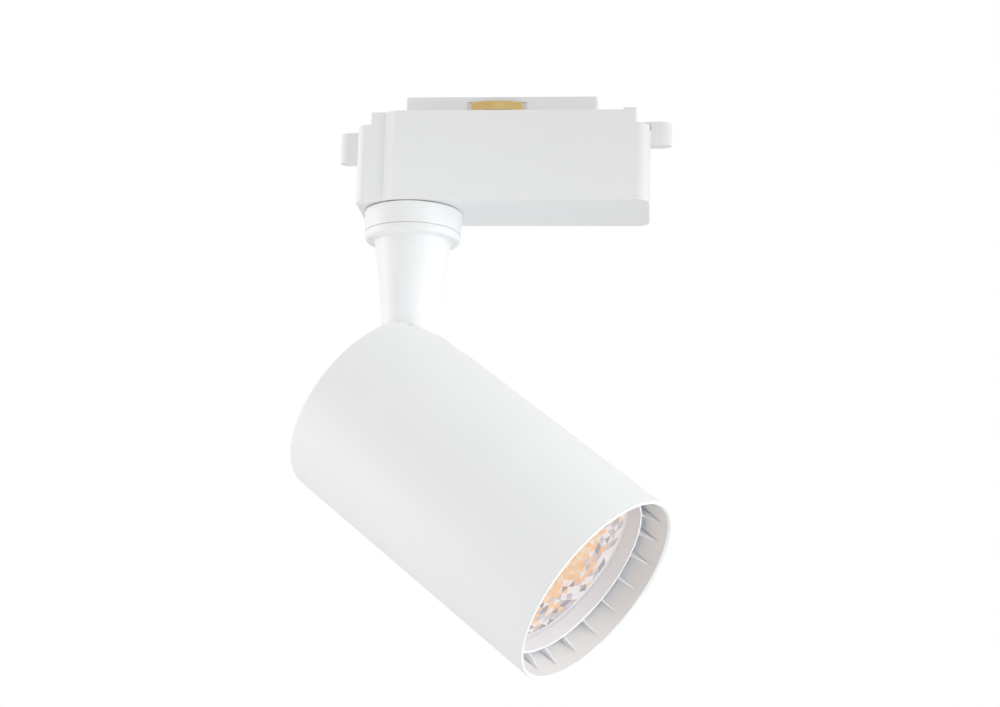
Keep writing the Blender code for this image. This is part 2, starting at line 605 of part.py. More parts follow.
def make_heat_sink(tilt):
    """Turned plate under the lamp with radial fins behind it, drilled for its screws, standoffs and leads."""
    core = 9.0
    pitch = 360.0 / FINS
    outline = []
    for i in range(FINS):
        middle = i * pitch
        for radius, side in ((core, -1), (HEAD_BORE - 1.0, -1), (HEAD_BORE - 1.0, 1), (core, 1)):
            lean = math.degrees(math.asin(FIN_THICK / 2 / radius)) * side
            angle = math.radians(middle + lean)
            outline.append((radius * math.cos(angle), radius * math.sin(angle)))
    sink = add("heat_sink", prism(outline, SINK_REAR, SINK_PLATE + 1, "YZ"), "aluminium", tilt)
    join(sink, rod(HEAD_BORE - GAP, SINK_PLATE, SINK_FRONT, "X", steps=ROUND))
    join(sink, box((SINK_REAR + 0.1, SINK_PLATE + 0.5), (-15.0, 15.0), (-4.5, 4.5)))
    places = [screw_place(degrees) for degrees in REAR_SCREWS]
    holes = [rod(1.5, SINK_PLATE - 1, SINK_PLATE + 4.5, "X", (0, y, z)) for y, z in places]
    for side in (-1, 1):
        holes.append(rod(1.5, SINK_REAR - 1, SINK_REAR + 9, "X", (0, side * BRACKET_SCREW_Y, 0)))
        holes.append(rod(1.4, SINK_FRONT - 7, SINK_FRONT + 1, "X", (0, 0, side * HOLDER_SCREW_Z)))
        holes.append(rod(1.5, SINK_REAR - 1, SINK_FRONT + 1, "X", (0, side * LEAD_Y, LEAD_Z)))
    cut(sink, *holes)


def make_standoffs(tilt):
    """Hexagon standoffs, screwed into the heat sink's plate, that carry the rear cover."""
    corner = STANDOFF_ACROSS / math.cos(math.radians(30)) / 2
    for index, degrees in enumerate(REAR_SCREWS, 1):
        y, z = screw_place(degrees)
        hexagon = prism(arc(y, z, corner, 0, 300, 5), COVER_FRONT + GAP, SINK_PLATE - GAP, "YZ")
        standoff = add(f"standoff_{index}", hexagon, "steel", tilt)
        join(standoff, rod(1.2, SINK_PLATE - 1, SINK_PLATE + 4, "X", (0, y, z)))
        cut(standoff, rod(1.5, COVER_FRONT, COVER_FRONT + 10, "X", (0, y, z)))


def make_lamp(tilt):
    """The COB emitter on its board, held down by a ring, with its leads."""
    front = SINK_FRONT + GAP
    add("thermal_pad", box((front, front + 0.5), (-12.0, 12.0), (-12.0, 12.0)), "silicone_grey", tilt)
    board_back = front + 0.8
    board_front = board_back + 1.0
    add("cob_board", box((board_back, board_front), (-12.0, 12.0), (-12.0, 12.0)), "ceramic", tilt)
    dome = [(0, board_front + GAP), (7.2, board_front + GAP)]
    dome += [(7.0, board_front + 1.0), (0, board_front + 1.1)]
    add("cob_emitter", turned(dome, "X", 32), "phosphor", tilt)
    profile = [(18.0, front), (20.5, front), (20.5, front + 3.4), (9.0, front + 3.4)]
    profile += [(9.0, board_front + GAP), (18.0, board_front + GAP)]
    holder = add("cob_holder", turned(profile, "X", 48), "white_plastic", tilt)
    spots = [(0, 0, side * HOLDER_SCREW_Z) for side in (-1, 1)]
    cut(holder, *[rod(1.4, front - 1, front + 5, "X", spot) for spot in spots])
    for index, (_, _, z) in enumerate(spots, 1):
        screw(f"holder_screw_{index}", (front + 3.7, 0, z), 9.5, tilt, "X", 1, 1.0, 2.0, 1.0)
    leads = (("led_lead_positive", 1, "red_wire"), ("led_lead_negative", -1, "dark_plastic"))
    for name, side, finish in leads:
        y = side * LEAD_Y
        route = [(-3.0, side * 18.0, LEAD_Z - 3), (4.0, y, LEAD_Z), (12.0, y, LEAD_Z), (26.0, y, LEAD_Z)]
        route += [(40.0, y, LEAD_Z), (44.3, y - side * 0.3, LEAD_Z), (45.6, y - side * 1.6, LEAD_Z)]
        wire(name, route, 0.8, finish, tilt)


def make_optic(tilt):
    """Clear cone lens in a carrier sleeve, clamped by the front ring."""
    cup = 8.4
    flange = LENS_FRONT - 1.8
    profile = [(0, LENS_REAR + 11.0), (cup - 1.4, LENS_REAR + 8.0), (cup, LENS_REAR), (10.4, LENS_REAR)]
    profile += [(16.5, LENS_REAR + 6.0), (22.0, LENS_REAR + 13.0), (26.4, LENS_REAR + 20.0), (29.0, flange)]
    profile += [(LENS_RADIUS, flange), (LENS_RADIUS, LENS_FRONT), (0, LENS_FRONT)]
    add("optic_lens", turned(profile, "X", 48), "clear_lens", tilt)
    sleeve = tube(31.4, HEAD_BORE - GAP, SINK_FRONT + GAP, flange - GAP, "X")
    add("lens_carrier", sleeve, "white_plastic", tilt)


def make_trim_ring(tilt):
    """Front ring: a throat sleeve, a floor out to the tube, and gussets that taper up the tube's bore."""
    back = LENS_FRONT + GAP
    floor = back + 1.4
    reach = HEAD_BORE - GAP
    profile = [(RIM_THROAT, back), (reach, back), (reach, floor), (RIM_THROAT + RIM_WALL + 0.3, floor)]
    profile += [(RIM_RADIUS, RIM_EDGE), (RIM_RADIUS - RIM_WALL, RIM_EDGE)]
    ring = add("trim_ring", turned(profile, "X", 84), "white_plastic", tilt)
    gusset = ((RIM_EDGE - 0.1, RIM_RADIUS - 0.35), (GUSSET_TIP, reach - 0.3), (GUSSET_TIP, reach))
    gusset += ((floor - 0.5, reach - 0.1), (floor - 0.5, RIM_THROAT + RIM_WALL))
    ribs = []
    for i in range(GUSSETS):
        rib = prism(gusset, -GUSSET_THICK / 2, GUSSET_THICK / 2, "XZ")
        bmesh.ops.rotate(rib, verts=rib.verts, matrix=Matrix.Rotation(math.tau * i / GUSSETS, 3, "X"))
        ribs.append(rib)
    join(ring, *ribs)


def main():
    clear_scene()
    pan = frame("pan_frame", None, (0, 0, 0), "Z", PAN_REST)
    tilt = frame("tilt_frame", pan, (0, 0, PIVOT_Z), "Y", TILT_REST)
    make_adapter()
    make_arm(pan)
    make_bracket(tilt)
    make_tilt_bolt(tilt)
    make_tube(tilt)
    make_rear_cover(tilt)
    make_heat_sink(tilt)
    make_standoffs(tilt)
    make_lamp(tilt)
    make_optic(tilt)
    make_trim_ring(tilt)


main()
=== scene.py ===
"""Looks of the track spotlight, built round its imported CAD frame.

Every visible piece is modelled again here at a finer grain than in the CAD: edge radii, threads, screw
recesses, windings, facets. Lengths are millimetres until a shape is added. Two local frames follow the
joints: the arm's, turned by the rest pan, and the head's, whose X runs forward along the tube.
"""

import json
import math

import bmesh
import bpy
from mathutils import Matrix, Vector


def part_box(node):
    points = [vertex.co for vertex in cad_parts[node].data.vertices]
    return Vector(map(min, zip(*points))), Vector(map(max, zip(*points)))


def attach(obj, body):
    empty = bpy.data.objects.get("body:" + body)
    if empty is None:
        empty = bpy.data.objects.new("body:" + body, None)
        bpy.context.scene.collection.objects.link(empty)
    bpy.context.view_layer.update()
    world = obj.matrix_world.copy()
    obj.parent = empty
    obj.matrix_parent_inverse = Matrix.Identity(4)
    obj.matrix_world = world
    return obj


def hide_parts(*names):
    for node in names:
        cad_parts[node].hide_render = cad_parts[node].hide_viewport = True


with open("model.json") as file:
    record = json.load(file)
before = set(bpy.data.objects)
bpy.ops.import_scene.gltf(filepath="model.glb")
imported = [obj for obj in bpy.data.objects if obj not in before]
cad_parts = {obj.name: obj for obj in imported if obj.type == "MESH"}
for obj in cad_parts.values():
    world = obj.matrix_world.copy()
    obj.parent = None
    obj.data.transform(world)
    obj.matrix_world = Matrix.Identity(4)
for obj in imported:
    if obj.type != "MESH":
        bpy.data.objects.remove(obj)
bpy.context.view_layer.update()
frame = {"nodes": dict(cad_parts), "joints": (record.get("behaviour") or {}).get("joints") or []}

MM = 0.001
GAP = 0.3

# Frames of the joints at rest
PIVOT = Vector((0.0, 0.0, -111.4))
TILT_AXIS = next(Vector(joint["axis"]) for joint in frame["joints"] if joint["name"] == "tilt")


def middle(node):
    low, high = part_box(node)
    return (low + high) / 2 / MM


def frame_matrix(origin, forward, left):
    turn = Matrix((forward, left, forward.cross(left))).transposed().to_4x4()
    return Matrix.Translation(origin) @ turn


HEAD_AXIS = (middle("cob_emitter") - PIVOT).normalized()
WORLD = Matrix.Identity(4)
ARM = frame_matrix(Vector((0, 0, 0)), TILT_AXIS.cross(Vector((0, 0, 1))).normalized(), TILT_AXIS.normalized())
HEAD = frame_matrix(PIVOT, HEAD_AXIS, TILT_AXIS.normalized())
PLACES = {"arm": ARM, "head": HEAD}


def span(node, place=WORLD):
    """Lowest and highest corner of a CAD node in a local frame, in millimetres."""
    back = place.inverted()
    points = [back @ (corner.co / MM) for corner in frame["nodes"][node].data.vertices]
    low = Vector([min(point[i] for point in points) for i in range(3)])
    high = Vector([max(point[i] for point in points) for i in range(3)])
    return low, high


# ---------------------------------------------------------------- materials

def link(tree, source, socket):
    tree.links.new(source, socket)


def noise(tree, coordinate, scale, detail=3.0):
    made = tree.nodes.new("ShaderNodeTexNoise")
    made.inputs["Scale"].default_value = scale
    made.inputs["Detail"].default_value = detail
    link(tree, coordinate, made.inputs["Vector"])
    return made.outputs["Fac"]


def map_range(tree, value, low, high, start=0.3, end=0.7):
    made = tree.nodes.new("ShaderNodeMapRange")
    made.inputs["From Min"].default_value = start
    made.inputs["From Max"].default_value = end
    made.inputs["To Min"].default_value = low
    made.inputs["To Max"].default_value = high
    link(tree, value, made.inputs["Value"])
    return made.outputs["Result"]


def two_tone(tree, value, first, second):
    made = tree.nodes.new("ShaderNodeMix")
    made.data_type = "RGBA"
    made.inputs["A"].default_value = (*first, 1.0)
    made.inputs["B"].default_value = (*second, 1.0)
    link(tree, value, made.inputs["Factor"])
    return made.outputs["Result"]


def new_material(name):
    made = bpy.data.materials.new(name)
    made.use_nodes = True
    tree = made.node_tree
    return made, tree, tree.nodes["Principled BSDF"], tree.nodes.new("ShaderNodeTexCoord").outputs["Object"]


def finish(name, colour, other=None, roughness=(0.4, 0.5), metallic=0.0, grain=600.0, patches=25.0,
           bump=0.1, depth=0.02, stretch=(1.0, 1.0, 1.0), coat=0.0, specular=0.5):
    """Procedural finish: patchy colour and roughness over a fine-grained relief.

    grain and patches are cycles per metre, depth is the relief in millimetres, stretch draws the grain out
    along an axis as brushing and turning do.
    """
    made, tree, shader, coordinate = new_material(name)
    drawn = tree.nodes.new("ShaderNodeMapping")
    drawn.inputs["Scale"].default_value = stretch
    link(tree, coordinate, drawn.inputs["Vector"])
    fine = noise(tree, drawn.outputs["Vector"], grain, 4.0)
    broad = noise(tree, coordinate, patches, 2.0)
    patchy = two_tone(tree, map_range(tree, broad, 0, 1), colour, other or colour)
    link(tree, patchy, shader.inputs["Base Color"])
    link(tree, map_range(tree, fine, *roughness), shader.inputs["Roughness"])
    relief = tree.nodes.new("ShaderNodeBump")
    relief.inputs["Strength"].default_value = bump
    relief.inputs["Distance"].default_value = depth * MM
    link(tree, fine, relief.inputs["Height"])
    link(tree, relief.outputs["Normal"], shader.inputs["Normal"])
    shader.inputs["Metallic"].default_value = metallic
    shader.inputs["Coat Weight"].default_value = coat
    shader.inputs["Specular IOR Level"].default_value = specular
    return made


def clear_finish(name, colour, roughness, ior):
    """Clear moulded plastic with faint flow marks."""
    made, tree, shader, coordinate = new_material(name)
    flow = noise(tree, coordinate, 90.0, 2.0)
    tinted = two_tone(tree, map_range(tree, flow, 0, 1), colour, [0.97 * c for c in colour])
    link(tree, tinted, shader.inputs["Base Color"])
    link(tree, map_range(tree, flow, roughness * 0.6, roughness), shader.inputs["Roughness"])
    shader.inputs["Transmission Weight"].default_value = 1.0
    shader.inputs["IOR"].default_value = ior
    return made


# Painted glow: emission that stands in for light falling on the surface.
def painted_glow(made, colour, strength):
    shader = made.node_tree.nodes["Principled BSDF"]
    shader.inputs["Emission Color"].default_value = (*colour, 1.0)
    shader.inputs["Emission Strength"].default_value = strength
    return made


def phosphor_finish(name):
    """Silicone over phosphor: granular orange-yellow, with a soft painted glow that stands in for the studio
    light on it.
    """
    made = finish(name, (1.0, 0.56, 0.16), (1.0, 0.64, 0.24), (0.35, 0.5),
                  grain=5200, patches=260, bump=0.3, coat=0.4)
    return painted_glow(made, (1.0, 0.50, 0.14), 0.55)


def painted_reflection_finish(name, colour, glow):
    """Polished facet on the far side of the optic: its colour is a painted reflection, its emission a painted
    glow.
    """
    made = finish(name, colour, [0.94 * c for c in colour], (0.06, 0.16), grain=900, patches=420)
    return painted_glow(made, colour, glow)


FINISHES = {
    "paint": finish("powder_coat_white", (0.87, 0.87, 0.87), (0.855, 0.857, 0.86), (0.36, 0.5),
        grain=2600, bump=0.18, depth=0.03),
    "plastic": finish("moulded_white", (0.85, 0.85, 0.85), (0.835, 0.837, 0.84), (0.34, 0.46),
        grain=4200, bump=0.14, depth=0.015),
    "ring": finish("moulded_white_ring", (0.86, 0.86, 0.885), (0.84, 0.838, 0.865), (0.4, 0.52),
        grain=3800, bump=0.1, depth=0.015),
    "zinc": finish("zinc_plate", (0.62, 0.63, 0.66), (0.52, 0.54, 0.58), (0.18, 0.36),
        1.0, 1800, 160, 0.2, 0.01),
    "brushed": finish("zinc_strip", (0.64, 0.65, 0.67), (0.55, 0.56, 0.59), (0.22, 0.42),
        1.0, 900, 60.0, 0.25, 0.01, (1, 0.06, 1)),
    "brass": finish("spring_brass", (0.80, 0.60, 0.27), (0.70, 0.49, 0.20), (0.18, 0.34),
        1.0, 1200, 120, 0.2, 0.01, (0.08, 1, 1)),
    "board": finish("solder_mask", (0.03, 0.20, 0.09), (0.02, 0.15, 0.07), (0.25, 0.4),
        grain=1500, patches=400, bump=0.2, coat=0.3),
    "dark": finish("dark_moulding", (0.03, 0.03, 0.034), (0.02, 0.02, 0.024), (0.42, 0.6),
        grain=2500, bump=0.3),
    "ferrite": finish("ferrite", (0.05, 0.05, 0.055), (0.08, 0.08, 0.085), (0.5, 0.75),
        0.2, 3000, 500, 0.5, 0.03),
    "tape": finish("yellow_tape", (0.80, 0.56, 0.07), (0.72, 0.48, 0.05), (0.25, 0.42),
        grain=300, patches=120, bump=0.3, depth=0.05),
    "sleeve": finish("shrunk_sleeve", (0.04, 0.07, 0.24), (0.03, 0.05, 0.19), (0.2, 0.34),
        grain=700, bump=0.2, depth=0.03),
    "can": finish("aluminium_can", (0.75, 0.76, 0.78), (0.66, 0.67, 0.70), (0.2, 0.38),
        1.0, 1500, 200, 0.2, 0.01),
    "copper": finish("enamelled_wire", (0.62, 0.27, 0.11), (0.52, 0.20, 0.08), (0.16, 0.3),
        0.7, 1500, 150, 0.15, 0.01, coat=0.5),
    "rubber": finish("silicone_sleeve", (0.50, 0.50, 0.51), (0.44, 0.44, 0.455), (0.5, 0.68),
        grain=2600, bump=0.25, specular=0.4),
    "casting": finish("bead_blasted_casting", (0.68, 0.69, 0.71), (0.60, 0.61, 0.635), (0.38, 0.55),
        1.0, 3400, 110, 0.4, 0.03),
    "pad": finish("thermal_silicone", (0.46, 0.46, 0.47), (0.41, 0.41, 0.42), (0.62, 0.8),
        grain=2200, bump=0.4, depth=0.04),
    "ceramic": finish("lamp_board", (0.88, 0.88, 0.86), (0.82, 0.82, 0.80), (0.35, 0.5),
        grain=3000, patches=300, bump=0.15),
    "dam": finish("silicone_dam", (0.90, 0.89, 0.86), (0.84, 0.83, 0.80), (0.4, 0.52), grain=2600, bump=0.2),
    "phosphor": phosphor_finish("phosphor"),
    "red": finish("red_insulation", (0.55, 0.03, 0.025), (0.44, 0.02, 0.02), (0.28, 0.42),
        grain=1400, bump=0.15),
    "black": finish("black_insulation", (0.02, 0.02, 0.02), (0.035, 0.035, 0.035), (0.28, 0.42),
        grain=1400, bump=0.15),
    # Facets: painted reflections of the lamp and of the housing, each with a painted glow.
    "facet_orange": painted_reflection_finish("facet_orange", (0.93, 0.65, 0.41), 0.32),
    "facet_amber": painted_reflection_finish("facet_amber", (0.92, 0.63, 0.38), 0.3),
    "facet_pale": painted_reflection_finish("facet_pale", (0.92, 0.76, 0.60), 0.3),
    "facet_white": painted_reflection_finish("facet_white", (0.85, 0.85, 0.88), 0.42),
    "facet_grey": painted_reflection_finish("facet_grey", (0.55, 0.55, 0.58), 0.38),
    "facet_lilac": painted_reflection_finish("facet_lilac", (0.62, 0.60, 0.66), 0.4),
    "facet_shade": painted_reflection_finish("facet_shade", (0.36, 0.35, 0.40), 0.36),
    "clear": clear_finish("clear_optic", (0.98, 0.985, 0.99), 0.02, 1.49),
    "floor": finish("studio_floor", (0.78, 0.78, 0.78), (0.76, 0.76, 0.76), (0.6, 0.7),
        grain=200, patches=3.0, bump=0.02),
}


# ---------------------------------------------------------------- shapes

AXES = {"XY": (0, 1, 2), "XZ": (0, 2, 1), "YZ": (1, 2, 0), "ZY": (2, 1, 0)}
HEXAGON = math.cos(math.radians(30))


def arc(cx, cy, radius, start, end, steps):
    """Points on an arc, angles in degrees."""
    angles = [math.radians(start + (end - start) * i / steps) for i in range(steps + 1)]
    return [(cx + radius * math.cos(a), cy + radius * math.sin(a)) for a in angles]


def prism(outline, low, high, plane="XY"):
    """An outline drawn in a plane and extruded across it, from low to high."""
    a, b, c = AXES[plane]
    solid = bmesh.new()
    rows = []
    for level in (low, high):
        row = []
        for u, v in outline:
            place = [0.0, 0.0, 0.0]
            place[a], place[b], place[c] = u, v, level
            row.append(solid.verts.new(place))
        rows.append(row)
    count = len(outline)
    for i in range(count):
        j = (i + 1) % count
        solid.faces.new((rows[0][i], rows[0][j], rows[1][j], rows[1][i]))
    solid.faces.new(rows[0])
    solid.faces.new(rows[1])
    return solid


def box(x_range, y_range, z_range):
    (x0, x1), (y0, y1), (z0, z1) = x_range, y_range, z_range
    return prism(((x0, y0), (x1, y0), (x1, y1), (x0, y1)), z0, z1)


def turned(profile, axis="Z", steps=64, centre=(0.0, 0.0, 0.0)):
    """A closed profile of (radius, height) points turned about an axis."""
    solid = bmesh.new()
    along = "XYZ".index(axis)
    across = (along + 1) % 3
    points = []
    for radius, height in profile:
        place = [0.0, 0.0, 0.0]
        place[across], place[along] = radius, height
        points.append(solid.verts.new(place))
    edges = [solid.edges.new(pair) for pair in zip(points, points[1:])]
    if profile[0][0] > 0 or profile[-1][0] > 0:
        edges.append(solid.edges.new((points[-1], points[0])))
    line = [0.0, 0.0, 0.0]
    line[along] = 1.0
    bmesh.ops.spin(
        solid, geom=points + edges, cent=(0, 0, 0), axis=line, angle=math.tau, steps=steps, use_merge=True
    )
    bmesh.ops.remove_doubles(solid, verts=solid.verts, dist=1e-5)
    bmesh.ops.translate(solid, vec=centre, verts=solid.verts)
    return solid


def rod(radius, low, high, axis="Z", centre=(0.0, 0.0, 0.0), steps=32, edge=0.0):
    side = rounded_end(radius, low, edge, -1) + rounded_end(radius, high, edge, 1)[::-1]
    return turned([(0, low), *side, (0, high)], axis, steps, centre)


def rounded_end(radius, level, edge, side, steps=4):
    """Profile points of a rounded outer edge, from the end face outwards."""
    if not edge:
        return [(radius, level)]
    points = []
    for i in range(steps + 1):
        angle = math.pi / 2 * i / steps
        points.append((radius - edge + edge * math.sin(angle), level - side * edge * (1 - math.cos(angle))))
    return points


def loft(rings):
    """Joins rings of (x, y, z) points, one after another, and closes both ends."""
    solid = bmesh.new()
    rows = [[solid.verts.new(point) for point in ring] for ring in rings]
    count = len(rows[0])
    for low, high in zip(rows, rows[1:]):
        for i in range(count):
            j = (i + 1) % count
            solid.faces.new((low[i], low[j], high[j], high[i]))
    solid.faces.new(rows[0])
    solid.faces.new(rows[-1])
    bmesh.ops.remove_doubles(solid, verts=solid.verts, dist=1e-5)
    return solid


def merged(solids):
    """One bmesh that holds several separate shapes."""
    whole = bmesh.new()
    for solid in solids:
        copies = {corner: whole.verts.new(corner.co) for corner in solid.verts}
        for face in solid.faces:
            whole.faces.new([copies[corner] for corner in face.verts])
        solid.free()
    return whole


def object_from(name, solid, place):
    bmesh.ops.recalc_face_normals(solid, faces=solid.faces)
    solid.transform(place)
    solid.transform(Matrix.Scale(MM, 4))
    mesh = bpy.data.meshes.new(name)
    solid.to_mesh(mesh)
    solid.free()
    made = bpy.data.objects.new(name, mesh)
    bpy.context.scene.collection.objects.link(made)
    return made


def settle(made):
    """Applies an object's modifiers to its mesh."""
    graph = bpy.context.evaluated_depsgraph_get()
    mesh = bpy.data.meshes.new_from_object(made.evaluated_get(graph))
    made.modifiers.clear()
    made.data = mesh
    return made


def boxes_cross(solids):
    """Whether any two shapes' bounding boxes overlap."""
    boxes = []
    for solid in solids:
        corners = [[corner.co[i] for corner in solid.verts] for i in range(3)]
        boxes.append([(min(row), max(row)) for row in corners])
    for i, one in enumerate(boxes):
        for other in boxes[i + 1:]:
            if all(a[0] < b[1] and b[0] < a[1] for a, b in zip(one, other)):
                return True
    return False


def combine(made, operation, helper, crossing=False):
    """Boolean with another object, which is used up."""
    step = made.modifiers.new(operation, "BOOLEAN")
    step.use_self = crossing
    step.operation = operation
    step.object = helper
    settle(made)
    bpy.data.objects.remove(helper, do_unlink=True)


def boolean(made, operation, solids, place):
    crossing = boxes_cross(solids)
    combine(made, operation, object_from("helper", merged(solids), place), crossing)


def finish_object(made, look, body, nodes=(), sharp=32):
    """Gives a shape its finish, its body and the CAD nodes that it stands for."""
    mesh = made.data
    mesh.materials.clear()
    mesh.materials.append(FINISHES[look])
    mesh.shade_smooth()
    mesh.set_sharp_from_angle(angle=math.radians(sharp))
    made.modifiers.new("normals", "WEIGHTED_NORMAL").keep_sharp = True
    settle(made)
    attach(made, body)
    if nodes:
        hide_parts(*nodes)
    return made


def add(name, solid, look, body, nodes=(), joined=(), cuts=(), bevel=0.0, segments=3, sharp=32):
    """A finished piece: its shape, what is joined to it and cut from it, its edge radius and its finish."""
    place = PLACES.get(body, WORLD)
    made = object_from(name, solid, place)
    if joined:
        boolean(made, "UNION", joined, place)
    if cuts:
        boolean(made, "DIFFERENCE", cuts, place)
    if bevel:
        step = made.modifiers.new("edges", "BEVEL")
        step.width = bevel * MM
        step.segments = segments
        step.limit_method = "ANGLE"
        step.angle_limit = math.radians(sharp)
        step.miter_outer = "MITER_ARC"
        settle(made)
    return finish_object(made, look, body, nodes, sharp)


def fillet(corners, steps=6):
    """A closed polygon of (x, y, radius) corners, each rounded by an arc of its radius."""
    points = []
    for i, (x, y, radius) in enumerate(corners):
        here = Vector((x, y))
        if not radius:
            points.append((x, y))
            continue
        before = Vector(corners[i - 1][:2]) - here
        after = Vector(corners[(i + 1) % len(corners)][:2]) - here
        half = before.angle(after) / 2
        reach = min(radius / math.tan(half), 0.49 * before.length, 0.49 * after.length)
        radius = reach * math.tan(half)
        centre = here + (before.normalized() + after.normalized()).normalized() * radius / math.sin(half)
        start = here + before.normalized() * reach - centre
        end = here + after.normalized() * reach - centre
        first = math.atan2(start.y, start.x)
        sweep = (math.atan2(end.y, end.x) - first + math.pi) % math.tau - math.pi
        for k in range(steps + 1):
            angle = first + sweep * k / steps
            points.append((centre.x + radius * math.cos(angle), centre.y + radius * math.sin(angle)))
    return points


def round_section(sides):
    """Unit circle as (cosine, sine) pairs."""
    return [(math.cos(math.tau * k / sides), math.sin(math.tau * k / sides)) for k in range(sides)]


def rectangle(x_range, y_range, radius, steps=6):
    (x0, x1), (y0, y1) = x_range, y_range
    return fillet([(x0, y0, radius), (x1, y0, radius), (x1, y1, radius), (x0, y1, radius)], steps)


def rotated(solid, angle, axis):
    bmesh.ops.rotate(solid, verts=solid.verts, matrix=Matrix.Rotation(angle, 3, axis))
    return solid


# ---------------------------------------------------------------- adapter box

BODY_LOW, BODY_HIGH = span("adapter_body")
NOSE_HALF = 14.55
TOP_LEFT, TOP_RIGHT = -14.15, 77.95
NOSE_START, NOSE_END = -5.5, -9.0
STEP_TOP = -4.5
WALL = 1.8
FLOOR_TOP = BODY_LOW.z + 2.0
BOARD_Z = span("driver_board")[0].z
LATCHES = {"lock_latch": (-20.0, -9.0), "release_latch": (73.0, 84.0)}
BRIDGES = {"lock_latch": (-4.4, -2.7), "release_latch": (-2.6, -0.8)}
LATCH_TRAVEL = 4.0
LID_SCREWS = [middle(f"lid_screw_{i}") for i in range(1, 5)]
BOARD_SCREWS = [middle(f"board_screw_{i}") for i in (1, 2)]
BOSS_SCREWS = (-11.6, 11.6)


def box_outline(left, left_corner, right, right_corner, inset):
    """Plan of the adapter box. Its left end steps in to a narrower nose."""
    wide, nose = BODY_HIGH.y - inset, NOSE_HALF - inset
    half = [
        (right - inset, wide, max(right_corner - inset, 0.2)), (NOSE_START, wide, 0.3),
        (NOSE_END, nose, 1.1), (left + inset, nose, max(left_corner - inset, 0.2)),
    ]
    return fillet(half + [(x, -y, radius) for x, y, radius in reversed(half)], 10)


def tray(inset, shorter=0.0):
    return box_outline(BODY_LOW.x + shorter, 3.75, BODY_HIGH.x - shorter, 4.7, inset)


def rim(inset):
    return box_outline(TOP_LEFT, 0.6, TOP_RIGHT, 0.6, inset + 0.03)


def quarter(radius, steps=4):
    """Offsets (inwards, along) that round an edge, from its end face to its side."""
    angles = [math.pi / 2 * i / steps for i in range(steps + 1)]
    return [(radius * (1 - math.sin(a)), radius * (1 - math.cos(a))) for a in angles]


def latch_window(name, heights):
    """Opening that a latch slides in."""
    low, high = span(name)
    return box(LATCHES[name], (low.y - GAP, high.y + GAP), heights)


def make_adapter_body():
    """One moulding: a full-length tray whose rim is cut back at both ends, open at the top."""
    bottom, step, lip = 0.35, 0.6, 0.22
    stack = [(tray(inwards), BODY_LOW.z + up) for inwards, up in quarter(bottom)]
    stack += [(tray(0.0, inwards), STEP_TOP - up) for inwards, up in reversed(quarter(step))]
    stack += [(rim(0.0), STEP_TOP)] + [(rim(inwards), -up) for inwards, up in reversed(quarter(lip))]
    stack += [(rim(WALL - inwards), -up) for inwards, up in quarter(lip)]
    stack += [(rim(WALL), STEP_TOP - WALL), (tray(WALL), STEP_TOP - WALL), (tray(WALL), FLOOR_TOP)]
    low = FLOOR_TOP - 0.5
    posts = [rod(2.6, low, -2.8, centre=(p.x, p.y, 0), edge=0.3) for p in LID_SCREWS]
    posts += [rod(2.4, low, BOARD_Z - GAP, centre=(p.x, p.y, 0), edge=0.3) for p in BOARD_SCREWS]
    posts.append(rod(1.5, STEP_TOP - 0.8, -2.8, centre=(-15.6, -4.6, 0), edge=0.6))
    holes = [rod(1.3, -13.0, 0.0, centre=(p.x, p.y, 0)) for p in LID_SCREWS]
    holes += [rod(1.2, FLOOR_TOP + 0.4, BOARD_Z, centre=(p.x, p.y, 0)) for p in BOARD_SCREWS]
    holes.append(rod(5.3, BODY_LOW.z - 1, FLOOR_TOP + 1, steps=64))
    holes += [rod(1.5, BODY_LOW.z - 1, FLOOR_TOP + 1, centre=(0, y, 0)) for y in BOSS_SCREWS]
    for name in LATCHES:
        holes.append(latch_window(name, (BRIDGES[name][0] - LATCH_TRAVEL - 2 * GAP, 1.0)))
    shell = loft([[(x, y, z) for x, y in ring] for ring, z in stack])
    add("adapter_shell", shell, "plastic", "adapter", ["adapter_body"], joined=posts, cuts=holes)


def make_lid():
    """Top plate inside the rim, with the ribbed tongue that carries the contacts up into the track."""
    low, high = span("adapter_lid")
    core, wall = 7.2, 3.0
    left, right = -3.0, 64.0
    plate = [[(x, y, level) for x, y in rim(WALL + GAP)] for level in (low.z, -GAP)]
    tongue = prism(rectangle((left, right), (-core, core), 0.8, 5), low.z, high.z)
    slots = [box((left + wall, right - wall), (-2.5, 2.5), (low.z - 1, high.z - 2.0))]
    for side in (-1, 1):
        slots.append(box((18.6, 39.4), (side * core - 0.55, side * core + 0.55), (2.2, 6.2)))
        slots.append(box((left - 1, right + 1), (side * core - 0.4, side * core + 0.4), (0.9, 1.5)))
    for i in range(9):
        x = left + 8 + i * 6.4
        slots.append(box((x - 0.9, x + 0.9), (-4.6, 4.6), (high.z - 0.5, high.z + 1)))
    recess = ((0, -5), (1.5, -5), (1.5, -1.9), (2.8, -1.9), (2.8, 2), (0, 2))
    slots += [turned(recess, "Z", 32, (p.x, p.y, 0)) for p in LID_SCREWS]
    slots += [latch_window(name, (-5, 2)) for name in LATCHES]
    add("lid_with_tongue", loft(plate), "plastic", "adapter", ["adapter_lid"], [tongue], slots, 0.15, 2, 40)


def finger_plan(tip, root, y0, y1, ridge, ribs):
    """Leaf-shaped plan: flat sides, then two curved facets that meet in a blunt tip. Ribs give grip."""
    centre, half, reach = (y0 + y1) / 2, (y1 - y0) / 2, abs(root - tip) * ridge
    way = 1 if tip > root else -1
    outline = [(root, y0), (root, y1)]
    steps, spread = 40, math.radians(72)
    for i in range(steps + 1):
        angle = spread * (1 - 2 * i / steps)
        ripple = 0.05 * math.cos(angle * ribs) if ribs else 0.0
        out = reach * (math.cos(angle) - math.cos(spread)) / (1 - math.cos(spread)) + ripple
        outline.append((tip - way * (reach - out), centre + half * math.sin(angle) / math.sin(spread)))
    return outline


